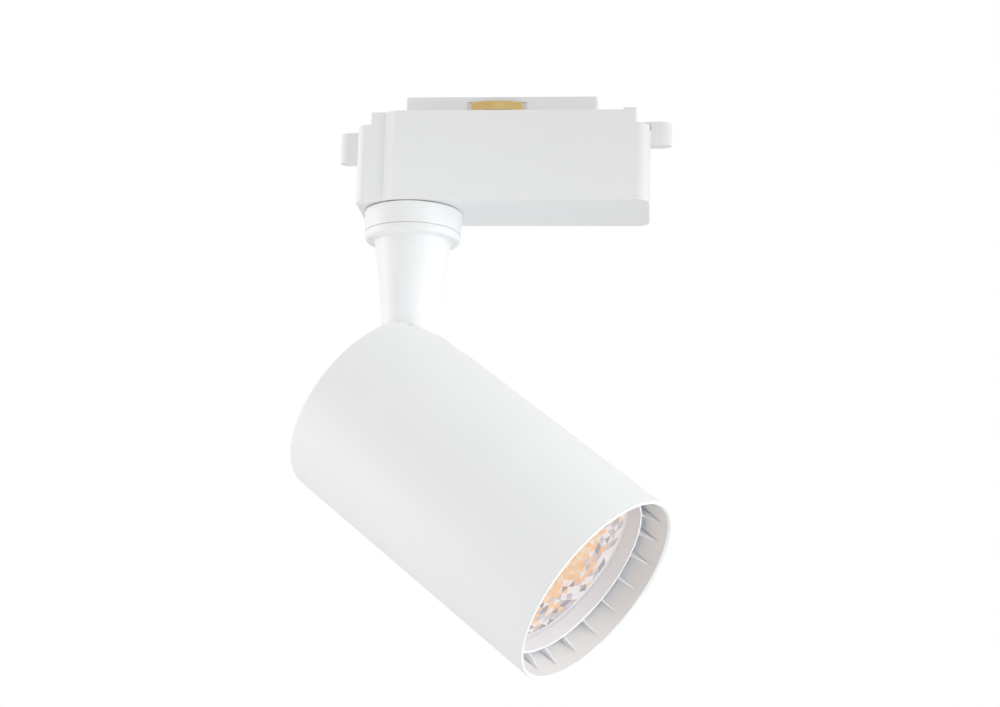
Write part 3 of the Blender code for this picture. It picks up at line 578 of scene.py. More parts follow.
def make_latch(name, tip, root, z_range, carriage, ridge, ribs, hook):
    """A finger outside the box, and inside it a carriage with a hook above and a toe on the spring."""
    low, high = span(name)
    inset, foot = 0.25, low.z
    sides = (low.y + inset, high.y - inset)
    spring = middle(name + "_spring").x
    bars = [
        box(sorted((root + hook, carriage[1])), sides, BRIDGES[name]),
        box(sorted(carriage), sides, (foot, high.z)),
        box(sorted((carriage[1], carriage[0] + hook * 2.2)), sides, (high.z - 2.2, high.z)),
        box(sorted((carriage[1], spring + hook * 2.1)), sides, (foot, foot + 1.6)),
    ]
    finger = prism(finger_plan(tip, root, low.y, high.y, ridge, ribs), *z_range)
    add(name + "_moulding", finger, "plastic", name, [name], bars, bevel=0.22, sharp=50)


def make_latches():
    make_latch("lock_latch", -27.1, -19.1, (-13.7, -2.7), (-11.8, -9.7), 0.34, 40, -1)
    make_latch("release_latch", 90.0, 82.7, (-9.2, -0.8), (75.4, 73.2), 0.5, 0, 1)


# ---------------------------------------------------------------- swivel and arm

def make_boss():
    """Round collar under the box, its neck let into the floor of the shell."""
    boss_low, boss_high = span("swivel_boss")
    radius, shoulder, top, bottom, bore = boss_high.y, -32.5, boss_high.z, boss_low.z, 5.3
    profile = fillet([
        (bore, top, 0.2), (16.6, top, 0.1), (16.6, shoulder, 0.1), (radius - 0.05, shoulder, 0.5),
        (radius - 0.35, bottom, 0.3), (16.5, bottom, 0.1), (16.3, bottom - 0.12, 0.05),
        (bore, bottom - 0.12, 0.2),
    ])
    holes = [rod(1.3, -38.2, boss_high.z + 1, centre=(0, y, 0)) for y in BOSS_SCREWS]
    add("swivel_collar", turned(profile, steps=160), "paint", "adapter", ["swivel_boss"], cuts=holes)


FLANGE_TOP, FLANGE_BOTTOM, FLANGE_RADIUS = -40.1, -42.9, 16.8
EYE_RADIUS, EYE_HALF = 8.3, 3.9


def arm_radius(height):
    return 8.0 + 5.3 * math.exp(-(FLANGE_BOTTOM - height) / 30.0)


def smoothstep(value, start, end):
    share = min(max((value - start) / (end - start), 0.0), 1.0)
    return share * share * (3 - 2 * share)


def arm_section(height, steps=96):
    """Section of the arm: round above, squeezed to the flat eye below, where its end rounds the bolt."""
    flat = smoothstep(height, -89.0, -101.0)
    below = max(PIVOT.z - height, 0.0)
    along = math.sqrt(max(EYE_RADIUS**2 - below**2, 0.05)) if flat >= 1 else arm_radius(height)
    along = along * (1 - flat) + min(along, EYE_RADIUS if below == 0 else along) * flat
    across = arm_radius(height) * (1 - flat) + EYE_HALF * flat
    power = 2.0 + 4.0 * flat
    ring = []
    for i in range(steps):
        angle = math.tau * i / steps
        c, s = math.cos(angle), math.sin(angle)
        x = math.copysign(abs(c) ** (2 / power), c) * along
        y = math.copysign(abs(s) ** (2 / power), s) * across
        ring.append((x, y, height))
    return ring


def make_arm():
    """Spigot, flange with a rounded lower edge, long fading cone and flat eye."""
    spigot_top = span("arm", ARM)[1].z
    root, top, bottom, edge = arm_radius(FLANGE_BOTTOM), FLANGE_TOP, FLANGE_BOTTOM, FLANGE_RADIUS
    profile = fillet([
        (3, spigot_top, 0), (5, spigot_top, 0.3), (5, top, 0), (edge, top, 0.3), (edge - 0.25, bottom, 1.3),
        (root + 0.6, bottom, 0), (root - 1, bottom - 1, 0), (3, bottom - 1, 0),
    ], 8)
    flange = turned(profile, steps=160)
    heights = [FLANGE_BOTTOM + 0.4 - i * (46.4 / 24) for i in range(25)]
    heights += [-89.5 - 0.8 * i for i in range(1, 16)] + [-104.0, -108.0, PIVOT.z]
    heights += [PIVOT.z - EYE_RADIUS * math.sin(math.pi / 2 * i / 14) for i in range(1, 14)]
    heights.append(PIVOT.z - EYE_RADIUS + 0.01)
    cuts = [
        rod(2.8, -6, 6, "Y", PIVOT, 48), rod(3.2, 1.0, 14.0, "X", (0, 0, -86.0), 48),
        rod(3.0, -90.0, spigot_top + 1, steps=48),
    ]
    cone = loft([arm_section(height) for height in heights])
    add("swivel_arm", flange, "paint", "arm", ["arm"], [cone], cuts)


def make_washer(name, node, inner, outer, low, high, axis, body):
    """Flat washer with the burr-side roll of a stamped part."""
    profile = fillet([(inner, low, 0.1), (outer, low, 0.3), (outer, high, 0.15), (inner, high, 0.3)], 4)
    add(name, turned(profile, axis, 72), "zinc", body, [node])


def make_split_washer():
    """Spring washer: a square-wire ring cut on a slant, its ends sprung apart."""
    low, high = span("swivel_spring_washer", ARM)
    inner, outer = 5.4, (high.x - low.x) / 2
    steps, opening, rise = 72, math.radians(9), 0.22
    rings = []
    for i in range(steps + 1):
        angle = opening / 2 + (math.tau - opening) * i / steps
        lift = rise * (i / steps - 0.5)
        corners = fillet([
            (inner, low.z + rise / 2, 0.12), (outer, low.z + rise / 2, 0.12),
            (outer, high.z - rise / 2, 0.12), (inner, high.z - rise / 2, 0.12),
        ], 2)
        rings.append([(r * math.cos(angle), r * math.sin(angle), z + lift) for r, z in corners])
    add("split_washer", loft(rings), "zinc", "arm", ["swivel_spring_washer"])


def hexagon(corner, cx=0.0, cy=0.0):
    return arc(cx, cy, corner, 0, 300, 5)


def make_nut(name, node, bore, axis, body):
    """Hexagon nut, both faces chamfered to a round by a cone, with a ringed thread in its bore."""
    place = PLACES[body]
    low, high = span(node, place)
    along = "XYZ".index(axis)
    start, end = low[along], high[along]
    flat = min((high - low)[i] for i in range(3) if i != along) / 2
    corner = flat / HEXAGON
    plane = {"Z": "XY", "Y": "XZ"}[axis]
    slope = (corner - flat) * 0.62
    cone = [(0, start), (flat * 0.97, start), (corner + 0.05, start + slope), (corner + 0.05, end - slope)]
    cone += [(flat * 0.97, end), (0, end)]
    made = object_from(name, prism(hexagon(corner), start, end, plane), place)
    boolean(made, "INTERSECT", [turned(cone, axis, 96)], place)
    pitch = 0.8
    count = int((end - start) / pitch)
    thread = [(0, start - 1), (bore + 0.5, start - 1), (bore + 0.5, start)]
    for i in range(count):
        base = start + 0.4 + i * (end - start - 0.8) / count
        thread += [(bore + 0.05, base), (bore + 0.3, base + pitch * 0.5)]
    thread += [(bore + 0.05, end - 0.4), (bore + 0.5, end), (bore + 0.5, end + 1), (0, end + 1)]
    boolean(made, "DIFFERENCE", [turned(thread, axis, 64)], place)
    finish_object(made, "zinc", body, [node])


def make_screw(node, body, axis="Z"):
    """Pan-head screw with a cross recess and a rolled thread. Its head is the node's wider end."""
    place = PLACES.get(body, WORLD)
    low, high = span(node, place)
    along = "XYZ".index(axis)
    others = [i for i in range(3) if i != along]
    centre = (low + high) / 2
    head = (high - low)[others[0]] / 2
    points = [place.inverted() @ (corner.co / MM) for corner in frame["nodes"][node].data.vertices]
    wide = [p[along] for p in points if max(abs(p[i] - centre[i]) for i in others) > head * 0.9]
    sign = 1 if sum(wide) / len(wide) > centre[along] else -1
    top, tip = (high[along], low[along]) if sign > 0 else (low[along], high[along])
    seat = min(wide) if sign > 0 else max(wide)
    high_of_head, length = abs(top - seat), abs(seat - tip)
    shank = 1.2 if head > 2.05 else 1.0
    profile = [(0, -length), (shank * 0.35, -length), (shank * 0.8, -length + 0.9)]
    pitch = 0.6
    turns = int((length - 1.6) / pitch)
    for i in range(turns):
        base = -length + 1.0 + i * pitch
        profile += [(shank * 0.8, base), (shank, base + pitch * 0.45), (shank, base + pitch * 0.6)]
    profile += [(shank * 0.8, -length + 1.0 + turns * pitch), (shank * 0.95, -0.25), (shank, 0)]
    profile += [(head - 0.12, 0), (head, 0.15), (head, high_of_head * 0.45)]
    crown = arc(0, 0, 1, 90 / 8, 90 * 7 / 8, 6)
    profile += [(head * (0.62 + 0.38 * u), high_of_head * (0.45 + 0.55 * v)) for u, v in crown]
    profile += [(head * 0.6, high_of_head), (0, high_of_head)]
    solid = turned([(r, seat + sign * h) for r, h in profile], axis, 48)
    spot = Vector((0, 0, 0))
    for i in others:
        spot[i] = centre[i]
    bmesh.ops.translate(solid, vec=spot, verts=solid.verts)
    reach, thick = head * 0.58, head * 0.11
    ends = (
        (top - sign * high_of_head * 0.75, reach * 0.45, thick * 0.8),
        (top + sign * 0.5, reach, thick * 1.2),
    )
    cutters = []
    for first, second in (others, others[::-1]):
        rings = []
        for level, long, wide in ends:
            ring = []
            for u, v in ((-long, -wide), (long, -wide), (long, wide), (-long, wide)):
                corner = Vector(spot)
                corner[first] += u
                corner[second] += v
                corner[along] = level
                ring.append(corner)
            rings.append(ring)
        cutters.append(loft(rings))
    add(node + "_fine", solid, "zinc", body, [node], cuts=cutters, sharp=35)


def make_spring(node):
    """Compression spring of round wire with closed ends."""
    low, high = span(node)
    centre = (low + high) / 2
    thick = 0.3
    radius = (high.x - low.x) / 2 - thick
    turns, steps, sides = 7, 28, 10
    first, last = smoothstep(0, -0.12, 1.12), smoothstep(1, -0.12, 1.12)
    rings = []
    for i in range(turns * steps + 1):
        share = i / (turns * steps)
        angle = math.tau * turns * share
        climb = (smoothstep(share, -0.12, 1.12) - first) / (last - first)
        rise = low.z + thick + (high.z - low.z - 2 * thick) * climb
        out = Vector((math.cos(angle), math.sin(angle), 0))
        spot = Vector((centre.x, centre.y, rise)) + out * radius
        rings.append([spot + out * thick * u + Vector((0, 0, thick * v)) for u, v in round_section(sides)])
    add(node + "_wire", loft(rings), "zinc", "adapter", [node], sharp=60)


# ---------------------------------------------------------------- head

TUBE_LOW, TUBE_HIGH = span("head_tube", HEAD)
HEAD_RADIUS, HEAD_BORE = TUBE_HIGH.y, 33.5
HEAD_REAR, HEAD_FRONT = TUBE_LOW.x, TUBE_HIGH.x
SLOT_HALF, SLOT_END, SLOT_CORNER = 15.6, 0.75, 7.0
COVER_SINK = 0.45
COVER_BACK, COVER_FRONT = -18.4, -16.4
ARM_SLOT_HALF = 11.0
TILT_HIGHEST = 35.0
LENS_BACK, LENS_FRONT = (corner.x for corner in span("optic_lens", HEAD))
SINK_PLATE = 36.0
BRACKET_SCREW_Y, HOLDER_SCREW_Z = 11.5, 17.0
LEAD_Y, LEAD_Z = 24.0, -9.0
RIM_EDGE, RIM_RADIUS, RIM_THROAT, RIM_WALL = 80.84, 31.3, 29.8, 0.8
GUSSETS = 21


def slot_outline(half, end, corner):
    """Slot open to the rear, seen from above, with rounded inner corners."""
    rear = HEAD_REAR - 2
    return fillet([(rear, -half, 0), (end, -half, corner), (end, half, corner), (rear, half, 0)], 14)


def make_tube():
    """Thin tube with a rolled rear edge, a chamfered front rim and the slot for its rear cover."""
    profile = fillet([
        (HEAD_BORE, HEAD_REAR, 0.3), (HEAD_RADIUS, HEAD_REAR, 1.1), (HEAD_RADIUS, HEAD_FRONT, 0.35),
        (HEAD_BORE + 0.62, HEAD_FRONT, 0.12), (HEAD_BORE, HEAD_FRONT - 0.85, 0.2),
    ], 6)
    slot = prism(slot_outline(SLOT_HALF, SLOT_END, SLOT_CORNER), 10, 40)
    add("tube_shell", turned(profile, "X", 256), "paint", "head", ["head_tube"], cuts=[slot])


def make_rear_cover():
    """Rear disc with an arched tongue that fills the tube's slot, notched for the arm."""
    radius = HEAD_BORE - GAP
    disc = fillet([
        (0, COVER_FRONT, 0), (radius, COVER_FRONT, 0.2), (radius, COVER_BACK, 0.5), (0, COVER_BACK, 0),
    ])
    arch_profile = fillet([
        (HEAD_BORE - 2.2, HEAD_REAR + 0.5, 0.2), (HEAD_RADIUS - COVER_SINK, HEAD_REAR + 0.5, 0.5),
        (HEAD_RADIUS - COVER_SINK, SLOT_END, 0.2), (HEAD_BORE - 2.2, SLOT_END, 0.2),
    ], 4)
    arch = object_from("arch", turned(arch_profile, "X", 256), HEAD)
    footprint = prism(slot_outline(SLOT_HALF - GAP, SLOT_END - GAP, SLOT_CORNER - GAP), 10, 40)
    boolean(arch, "INTERSECT", [footprint], HEAD)
    cover = object_from("rear_plate", turned(disc, "X", 160), HEAD)
    combine(cover, "UNION", arch)
    cone = [(arm_radius(PIVOT.z + up) + 0.6, up) for up in range(20, 72, 3)]
    notch = rotated(turned([(0, 20), *cone, (0, cone[-1][1])], "Z", 96), -math.radians(TILT_HIGHEST), "Y")
    keyhole = arc(0, 0, ARM_SLOT_HALF, 180, 360, 48) + [(ARM_SLOT_HALF, 40), (-ARM_SLOT_HALF, 40)]
    cuts = [notch, prism(keyhole, COVER_BACK - 3, COVER_FRONT + 0.2, "YZ")]
    for i in (1, 2, 3):
        low, high = span(f"rear_screw_{i}", HEAD)
        spot = (0, (low.y + high.y) / 2, (low.z + high.z) / 2)
        cuts.append(rod(1.5, COVER_BACK - 1, COVER_FRONT + 1, "X", spot))
    boolean(cover, "DIFFERENCE", cuts, HEAD)
    finish_object(cover, "paint", "head", ["rear_cover"])


def gusset(turn):
    """Rib with a rounded crest that tapers up the tube's bore."""
    reach = HEAD_BORE - GAP
    stations = (
        (LENS_FRONT + 1.2, RIM_THROAT + 0.5, 0.42),
        (RIM_EDGE - 0.1, RIM_RADIUS - 0.35, 0.42),
        (86.7, reach - 0.3, 0.26),
    )
    rings = []
    for x, crest, half in stations:
        points = [(half, reach - 0.02)]
        points += [(half * u, crest + half * (1 - v) * 0.6) for u, v in arc(0, 0, 1, 0, 180, 8)]
        points.append((-half, reach - 0.02))
        rings.append([(x, y, z) for y, z in points])
    return rotated(loft(rings), turn, "X")


def make_trim_ring():
    """Front ring: throat sleeve with a fine bright edge, floor out to the tube, ribs up the bore."""
    back, reach = LENS_FRONT + GAP, HEAD_BORE - GAP
    floor = back + 1.4
    profile = fillet([
        (RIM_THROAT, back, 0.15), (reach, back, 0.2), (reach, floor, 0.2),
        (RIM_THROAT + RIM_WALL + 0.3, floor, 0.4), (RIM_RADIUS, RIM_EDGE, 0.18),
        (RIM_RADIUS - RIM_WALL, RIM_EDGE, 0.25),
    ], 4)
    ribs = [gusset(math.tau * i / GUSSETS) for i in range(GUSSETS)]
    add("ribbed_ring", turned(profile, "X", 252), "ring", "head", ["trim_ring"], joined=ribs, sharp=35)


def make_bracket():
    """Pressed strip bent to a U: a base plate on the heat sink and two rounded cheeks on the bolt."""
    high = span("pivot_bracket", HEAD)[1]
    size, base_front, base_back = high.z, high.x, high.x - 2.2
    plate = prism(rectangle((-15, 15), (-size, size), 2), base_back, base_front, "YZ")
    cheek = arc(0, 0, size, 90, 270, 40) + [(base_back + 1, -size + 0.2), (base_back + 1, size - 0.2)]
    spans = [sorted((side * 4.2, side * 6.4)) for side in (-1, 1)]
    holes = [rod(1.5, base_back - 1, base_front + 1, "X", (0, side * BRACKET_SCREW_Y, 0)) for side in (-1, 1)]
    add("tilt_bracket", plate, "brushed", "head", ["pivot_bracket"],
        [prism(cheek, a, b, "XZ") for a, b in spans], [rod(2.8, -10, 10, "Y", steps=48), *holes], 0.18, 2, 50)


def make_tilt_bolt():
    """Pan-head bolt with a hexagon socket and a rolled thread at its end."""
    low, high = span("tilt_bolt", HEAD)
    head, seat, shank = (high.x - low.x) / 2, low.y + 3.2, 2.5
    profile = [(0, low.y), (head - 1.0, low.y)]
    profile += arc(head - 1.0, low.y + 1.0, 1.0, -90 + 90 / 8, 0, 7)
    profile += [(head, seat - 0.2), (head - 0.2, seat), (shank, seat)]
    start = high.y - 8.0
    profile.append((shank, start))
    for i in range(12):
        base = start + 0.2 + i * 0.6
        profile += [(shank - 0.32, base), (shank, base + 0.3)]
    profile += [(shank - 0.5, high.y - 0.1), (shank - 0.6, high.y), (0, high.y)]
    socket = prism(hexagon(2.3), low.y - 1, low.y + 2.0, "XZ")
    add("tilt_bolt_fine", turned(profile, "Y", 64), "zinc", "head", ["tilt_bolt"], cuts=[socket], sharp=35)


def make_heat_sink():
    """Cast plate under the lamp with radial fins behind it, their tips rounded, and a bracket block."""
    low, high = span("heat_sink", HEAD)
    count, half, tip = 18, 0.9, HEAD_BORE - 1.0
    blade = fillet([(5, -half, 0), (tip, -half + 0.15, 0.6), (tip, half - 0.15, 0.6), (5, half, 0)])
    fins = []
    for i in range(count):
        turn = math.pi / 2 + math.tau * i / count
        fins.append(rotated(prism(blade, low.x, SINK_PLATE + 1, "ZY"), turn, "X"))
    radius = high.y
    profile = fillet([
        (0, SINK_PLATE, 0), (radius, SINK_PLATE, 0.3), (radius, high.x, 0.5), (0, high.x, 0),
    ], 4)
    block = box((low.x + 0.1, SINK_PLATE + 0.5), (-15, 15), (-4.5, 4.5))
    core = rod(9.2, low.x, SINK_PLATE + 1, "X", steps=64)
    holes = []
    for side in (-1, 1):
        holes.append(rod(1.3, low.x - 1, low.x + 9, "X", (0, side * BRACKET_SCREW_Y, 0)))
        holes.append(rod(1.3, high.x - 7, high.x + 1, "X", (0, 0, side * HOLDER_SCREW_Z)))
        holes.append(rod(1.6, low.x - 1, high.x + 1, "X", (0, side * LEAD_Y, LEAD_Z)))
    for i in (1, 2, 3):
        first, last = span(f"standoff_{i}", HEAD)
        spot = (0, (first.y + last.y) / 2, (first.z + last.z) / 2)
        holes.append(rod(1.4, SINK_PLATE - 1, SINK_PLATE + 4.5, "X", spot))
    disc = turned(profile, "X", 160)
    add("finned_casting", disc, "casting", "head", ["heat_sink"], [*fins, block, core], holes, sharp=40)


def make_standoffs():
    """Hexagonal pillars with a stud at the heat sink and a tapped hole for the rear screw."""
    for i in (1, 2, 3):
        node = f"standoff_{i}"
        low, high = span(node, HEAD)
        y, z, flat = (low.y + high.y) / 2, (low.z + high.z) / 2, 2.75
        shoulder = SINK_PLATE - GAP
        corner = flat / HEXAGON
        made = object_from(node + "_hex", prism(hexagon(corner, y, z), low.x, shoulder, "YZ"), HEAD)
        profile = [(0, low.x), (flat - 0.1, low.x), (corner, low.x + 0.5)]
        profile += [(corner, shoulder - 0.5), (flat - 0.1, shoulder), (0, shoulder)]
        boolean(made, "INTERSECT", [turned(profile, "X", 96, (0, y, z))], HEAD)
        boolean(made, "UNION", [rod(1.2, shoulder - 1, high.x, "X", (0, y, z), edge=0.3)], HEAD)
        boolean(made, "DIFFERENCE", [rod(1.3, low.x - 1, low.x + 9.5, "X", (0, y, z))], HEAD)
        finish_object(made, "brass", "head", [node])


def make_lamp():
    """COB lamp: pad, notched board with its solder lands, silicone dam, granular emitter and holder."""
    low, high = span("thermal_pad", HEAD)
    square = (-12, 12)
    pad = prism(rectangle(square, square, 1.5), low.x, high.x, "YZ")
    add("soft_pad", pad, "pad", "head", ["thermal_pad"], bevel=0.1, segments=2)
    low, high = span("cob_board", HEAD)
    board = prism(rectangle(square, square, 0.4, 3), low.x, high.x, "YZ")
    notches = [rod(1.6, low.x - 1, high.x + 1, "X", (0, side * 12, side * 12), 40) for side in (-1, 1)]
    add("lamp_base", board, "ceramic", "head", ["cob_board"], cuts=notches, bevel=0.08)
    lands = []
    for y in (-10.2, 10.2):
        lands.append(box((high.x + 0.01, high.x + 0.09), (y - 1.1, y + 1.1), (-y - 1.1, -y + 1.1)))
    add("solder_lands", merged(lands), "can", "head", bevel=0.03, segments=1)
    low, high = span("cob_emitter", HEAD)
    radius = (high.y - low.y) / 2
    dome = [(0, high.x + 0.3), (radius * 0.5, high.x + 0.22), (radius * 0.85, high.x + 0.02)]
    dome += [(radius - 0.1, high.x - 0.25), (radius - 0.1, low.x), (0, low.x)]
    add("emitter_dome", turned(dome, "X", 96), "phosphor", "head", ["cob_emitter"])
    inner, outer, foot, crest = radius + 0.05, radius + 1.3, low.x - 0.2, high.x + 0.1
    dam = fillet([(inner, foot, 0), (outer, foot, 0), (outer, crest, 0.6), (inner, crest, 0.6)], 6)
    add("silicone_dam", turned(dam, "X", 96), "dam", "head")
    low, high = span("cob_holder", HEAD)
    inner, outer, wall, seat = 9.0, high.y, 18.0, 44.4
    profile = fillet([
        (wall, low.x, 0.1), (outer, low.x, 0.2), (outer, high.x, 0.9), (inner + 2.2, high.x, 0.4),
        (inner, high.x - 1.6, 0.3), (inner, seat, 0.1), (wall, seat, 0.1),
    ], 5)
    holes = [rod(1.4, low.x - 1, high.x + 2, "X", (0, 0, side * HOLDER_SCREW_Z)) for side in (-1, 1)]
    add("lamp_holder", turned(profile, "X", 128), "plastic", "head", ["cob_holder"], cuts=holes)


def make_carrier():
    """Sleeve that holds the optic's flange off the lamp."""
    low, high = span("lens_carrier", HEAD)
    profile = rectangle((31.4, high.y), (low.x, high.x), 0.2, 3)
    add("lens_sleeve", turned(profile, "X", 128), "ring", "head", ["lens_carrier"])


FACETS, FACET_ROWS = 48, 11
# Finishes of the painted reflections: the lamp's warm image and the housing's greys.
LAMP_REFLECTION_FACETS = ("facet_orange", "facet_amber", "facet_orange", "facet_pale")
HOUSING_REFLECTION_FACETS = ("facet_white", "facet_grey", "facet_lilac", "facet_shade", "facet_white")
FACET_LOOKS = [key for key in FINISHES if key.startswith("facet_")]


def circle(solid, radius, x, count, shift=0.0):
    angles = [math.tau * (i + shift) / count for i in range(count)]
    return [solid.verts.new((x, radius * math.cos(a), radius * math.sin(a))) for a in angles]


def band(solid, first, second):
    for i in range(len(first)):
        j = (i + 1) % len(first)
        solid.faces.new((first[i], first[j], second[j], second[i]))


def make_lens():
    """Clear optic: flat front, flange, and a cone of small triangular facets down to a cup over the lamp."""
    flange, cup_edge = LENS_FRONT - 1.8, 10.4
    solid = bmesh.new()
    rings = []
    for row in range(FACET_ROWS + 1):
        share = row / FACET_ROWS
        radius = 29.0 + (cup_edge - 29.0) * share + 1.6 * math.sin(math.pi * share)
        rings.append(circle(solid, radius, flange + (LENS_BACK - flange) * share, FACETS, 0.5 * (row % 2)))
    for row, (upper, lower) in enumerate(zip(rings, rings[1:])):
        for i in range(FACETS):
            j = (i + 1) % FACETS
            if row % 2 == 0:
                solid.faces.new((upper[i], upper[j], lower[i]))
                solid.faces.new((upper[j], lower[j], lower[i]))
            else:
                solid.faces.new((upper[i], upper[j], lower[j]))
                solid.faces.new((upper[i], lower[j], lower[i]))
    cup = [(8.4, LENS_BACK), (7.0, LENS_BACK + 8.0)]
    cup += [(7.0 * u, LENS_BACK + 8.0 + 3.0 * v) for u, v in arc(0, 0, 1, 18, 72, 3)]
    previous = rings[-1]
    for radius, x in cup:
        following = circle(solid, radius, x, FACETS, 0.5 * (FACET_ROWS % 2))
        band(solid, previous, following)
        previous = following
    tip = solid.verts.new((LENS_BACK + 11.0, 0, 0))
    for i in range(FACETS):
        solid.faces.new((previous[i], previous[(i + 1) % FACETS], tip))
    sides = 3
    edge = circle(solid, 32.9, flange, FACETS * sides)
    for i in range(FACETS):
        strip = [edge[(i * sides + k) % len(edge)] for k in range(sides + 1)]
        solid.faces.new([rings[0][i], *strip, rings[0][(i + 1) % FACETS]])
    for radius, x in ((32.9, LENS_FRONT - 0.3), (32.6, LENS_FRONT)):
        following = circle(solid, radius, x, FACETS * sides)
        band(solid, edge, following)
        edge = following
    solid.faces.new(edge)
    lens = add("faceted_lens", solid, "clear", "head", ["optic_lens"], sharp=10)
    for look in FACET_LOOKS:
        lens.data.materials.append(FINISHES[look])
    back = HEAD.inverted()
    # Painted reflections: the flange's back face and the facets of the cone get glowing facet finishes.
    for face in lens.data.polygons:
        spot = back @ (face.center / MM)
        radius = math.hypot(spot.y, spot.z)
        if radius > 28.9 and abs(spot.x - flange) < 0.1:
            face.material_index = 1 + FACET_LOOKS.index("facet_white")
        elif cup_edge < radius < 29.5 and LENS_BACK < spot.x < flange:
            face.material_index = 1 + painted_reflection_look(radius, spot)


def painted_reflection_look(radius, spot):
    """Painted reflection for a facet: mostly the lamp in the middle of the cone, the housing at its ends.

    The scatter is a fixed function of the facet's place, so it's the same on every run.
    """
    draw = math.sin(spot.y * 12.9898 + spot.z * 78.233) * 43758.5453 % 1.0
    other = math.sin(spot.y * 39.346 + spot.z * 11.135) * 24634.6345 % 1.0
    # Share of facets painted with the lamp's reflection, by radius.
    lamp = 0.96 if 14.5 < radius < 23.0 else 0.3 if 14.5 < radius < 26.5 else 0.08
    if draw < lamp:
        return FACET_LOOKS.index(LAMP_REFLECTION_FACETS[int(other * len(LAMP_REFLECTION_FACETS))])
    return FACET_LOOKS.index(HOUSING_REFLECTION_FACETS[int(other * len(HOUSING_REFLECTION_FACETS))])


TERMINAL_X, POLES = 64.5, (2.2, 7.8)


def smooth_line(points, steps=8):
    """Catmull-Rom line through points."""
    ends = [Vector(points[0])] + [Vector(p) for p in points] + [Vector(points[-1])]
    line = []
    for i in range(len(points) - 1):
        a, b, c, d = ends[i:i + 4]
        for k in range(steps):
            t = k / steps
            spot = 2 * b + (c - a) * t + (2 * a - 5 * b + 4 * c - d) * t**2
            line.append((spot + (3 * b - a - 3 * c + d) * t**3) / 2)
    line.append(ends[-1])
    return line


def make_lead(name, node, points, radius, look, body):
    """A round lead whose sleeve necks in at both ends."""
    line = smooth_line(points)
    rings, side = [], None
    for i, spot in enumerate(line):
        along = (line[min(i + 1, len(line) - 1)] - line[max(i - 1, 0)]).normalized()
        side = (along.orthogonal() if side is None else side - along * side.dot(along)).normalized()
        other = along.cross(side)
        taper = 0.72 if i in (0, len(line) - 1) else 1.0
        rings.append([spot + (side * u + other * v) * radius * taper for u, v in round_section(20)])
    add(name, loft(rings), look, body, [node], sharp=50)


def make_leads():
    """Cables and leads. Each stops at its side of a joint."""
    arm_points = [(0, 0, -19.8), (0, 0, -40), (0, 0, -60), (0, 0, -76)]
    arm_points += [(0.6, 0, -82), (3.0, 0, -86), (7.6, 0, -86.4)]
    make_lead("arm_cable_sleeve", "arm_cable", arm_points, 1.9, "rubber", "arm")
    out = [(TERMINAL_X, POLES[0], -16), (62, POLES[0], -9), (50, 0, -6), (30, 0, -6), (8, 0, -6.5)]
    out += [(2, 0, -10), (0, 0, -15), (0, 0, -19.4)]
    make_lead("output_lead_sleeve", "driver_output_lead", out, 1.3, "rubber", "adapter")
    for name, side, look in (("led_lead_positive", 1, "red"), ("led_lead_negative", -1, "black")):
        y, z = side * LEAD_Y, LEAD_Z
        route = [(-3.0, side * 18.0, z - 3), (4.0, y, z), (12.0, y, z), (26.0, y, z), (40.0, y, z)]
        route += [(44.3, y - side * 0.3, z), (45.6, y - side * 1.6, z)]
        make_lead(name + "_wire", name, route, 0.8, look, "head")


# ---------------------------------------------------------------- driver

def make_driver():
    """Driver board with its tracks and the parts that stand on it."""
    low, high = span("driver_board")
    top = high.z
    holes = [rod(1.4, low.z - 1, top + 1, centre=(p.x, p.y, 0)) for p in BOARD_SCREWS]
    board = prism(rectangle((low.x, high.x), (low.y, high.y), 1.5), low.z, top)
    add("printed_board", board, "board", "adapter", ["driver_board"], cuts=holes, bevel=0.08, segments=1)
    tracks, foil = [], (top + 0.01, top + 0.06)
    for i in range(6):
        y = low.y + 2.2 + i * 1.1
        tracks.append(box((low.x + 4 + i, 34.0 + 2.5 * i), (y, y + 0.5), foil))
        tracks.append(box((41.0 + i, high.x - 9 - i), (-y - 0.5, -y), foil))
    add("copper_tracks", merged(tracks), "copper", "adapter")
    make_transformer()
    make_capacitor("mains_capacitor")
    make_capacitor("output_capacitor")
    make_chip()
    make_choke()
    make_terminal_block()


def make_transformer():
    """Bobbin with a taped winding, between the two outer legs of its ferrite core."""
    low, high = span("transformer")
    cheek = rectangle((-high.y, high.y), (low.z, high.z), 0.8)
    cheeks = [prism(cheek, a, a + 1.4, "YZ") for a in (low.x, high.x - 1.4)]
    add("bobbin", merged(cheeks), "dark", "adapter", ["transformer"], bevel=0.15, segments=2)
    centre, start, end, turns = low.z + 7.5, low.x + 1.5, high.x - 1.5, 15
    profile = [(0, start)]
    for i in range(turns):
        x = start + (end - start) * (i + 0.5) / turns
        profile += [(6.0, x - 0.35), (6.15, x), (6.0, x + 0.35)]
    profile += [(6.0, end), (0, end)]
    add("taped_winding", turned(profile, "X", 64, (0, 0, centre)), "tape", "adapter")
    legs = [
        box((low.x + 2.4, high.x - 2.4), sides, (centre - 3.6, centre + 3.6))
        for sides in ((-7.9, -6.3), (6.3, 7.9))
    ]
    add("ferrite_core", merged(legs), "ferrite", "adapter", bevel=0.2, segments=2)


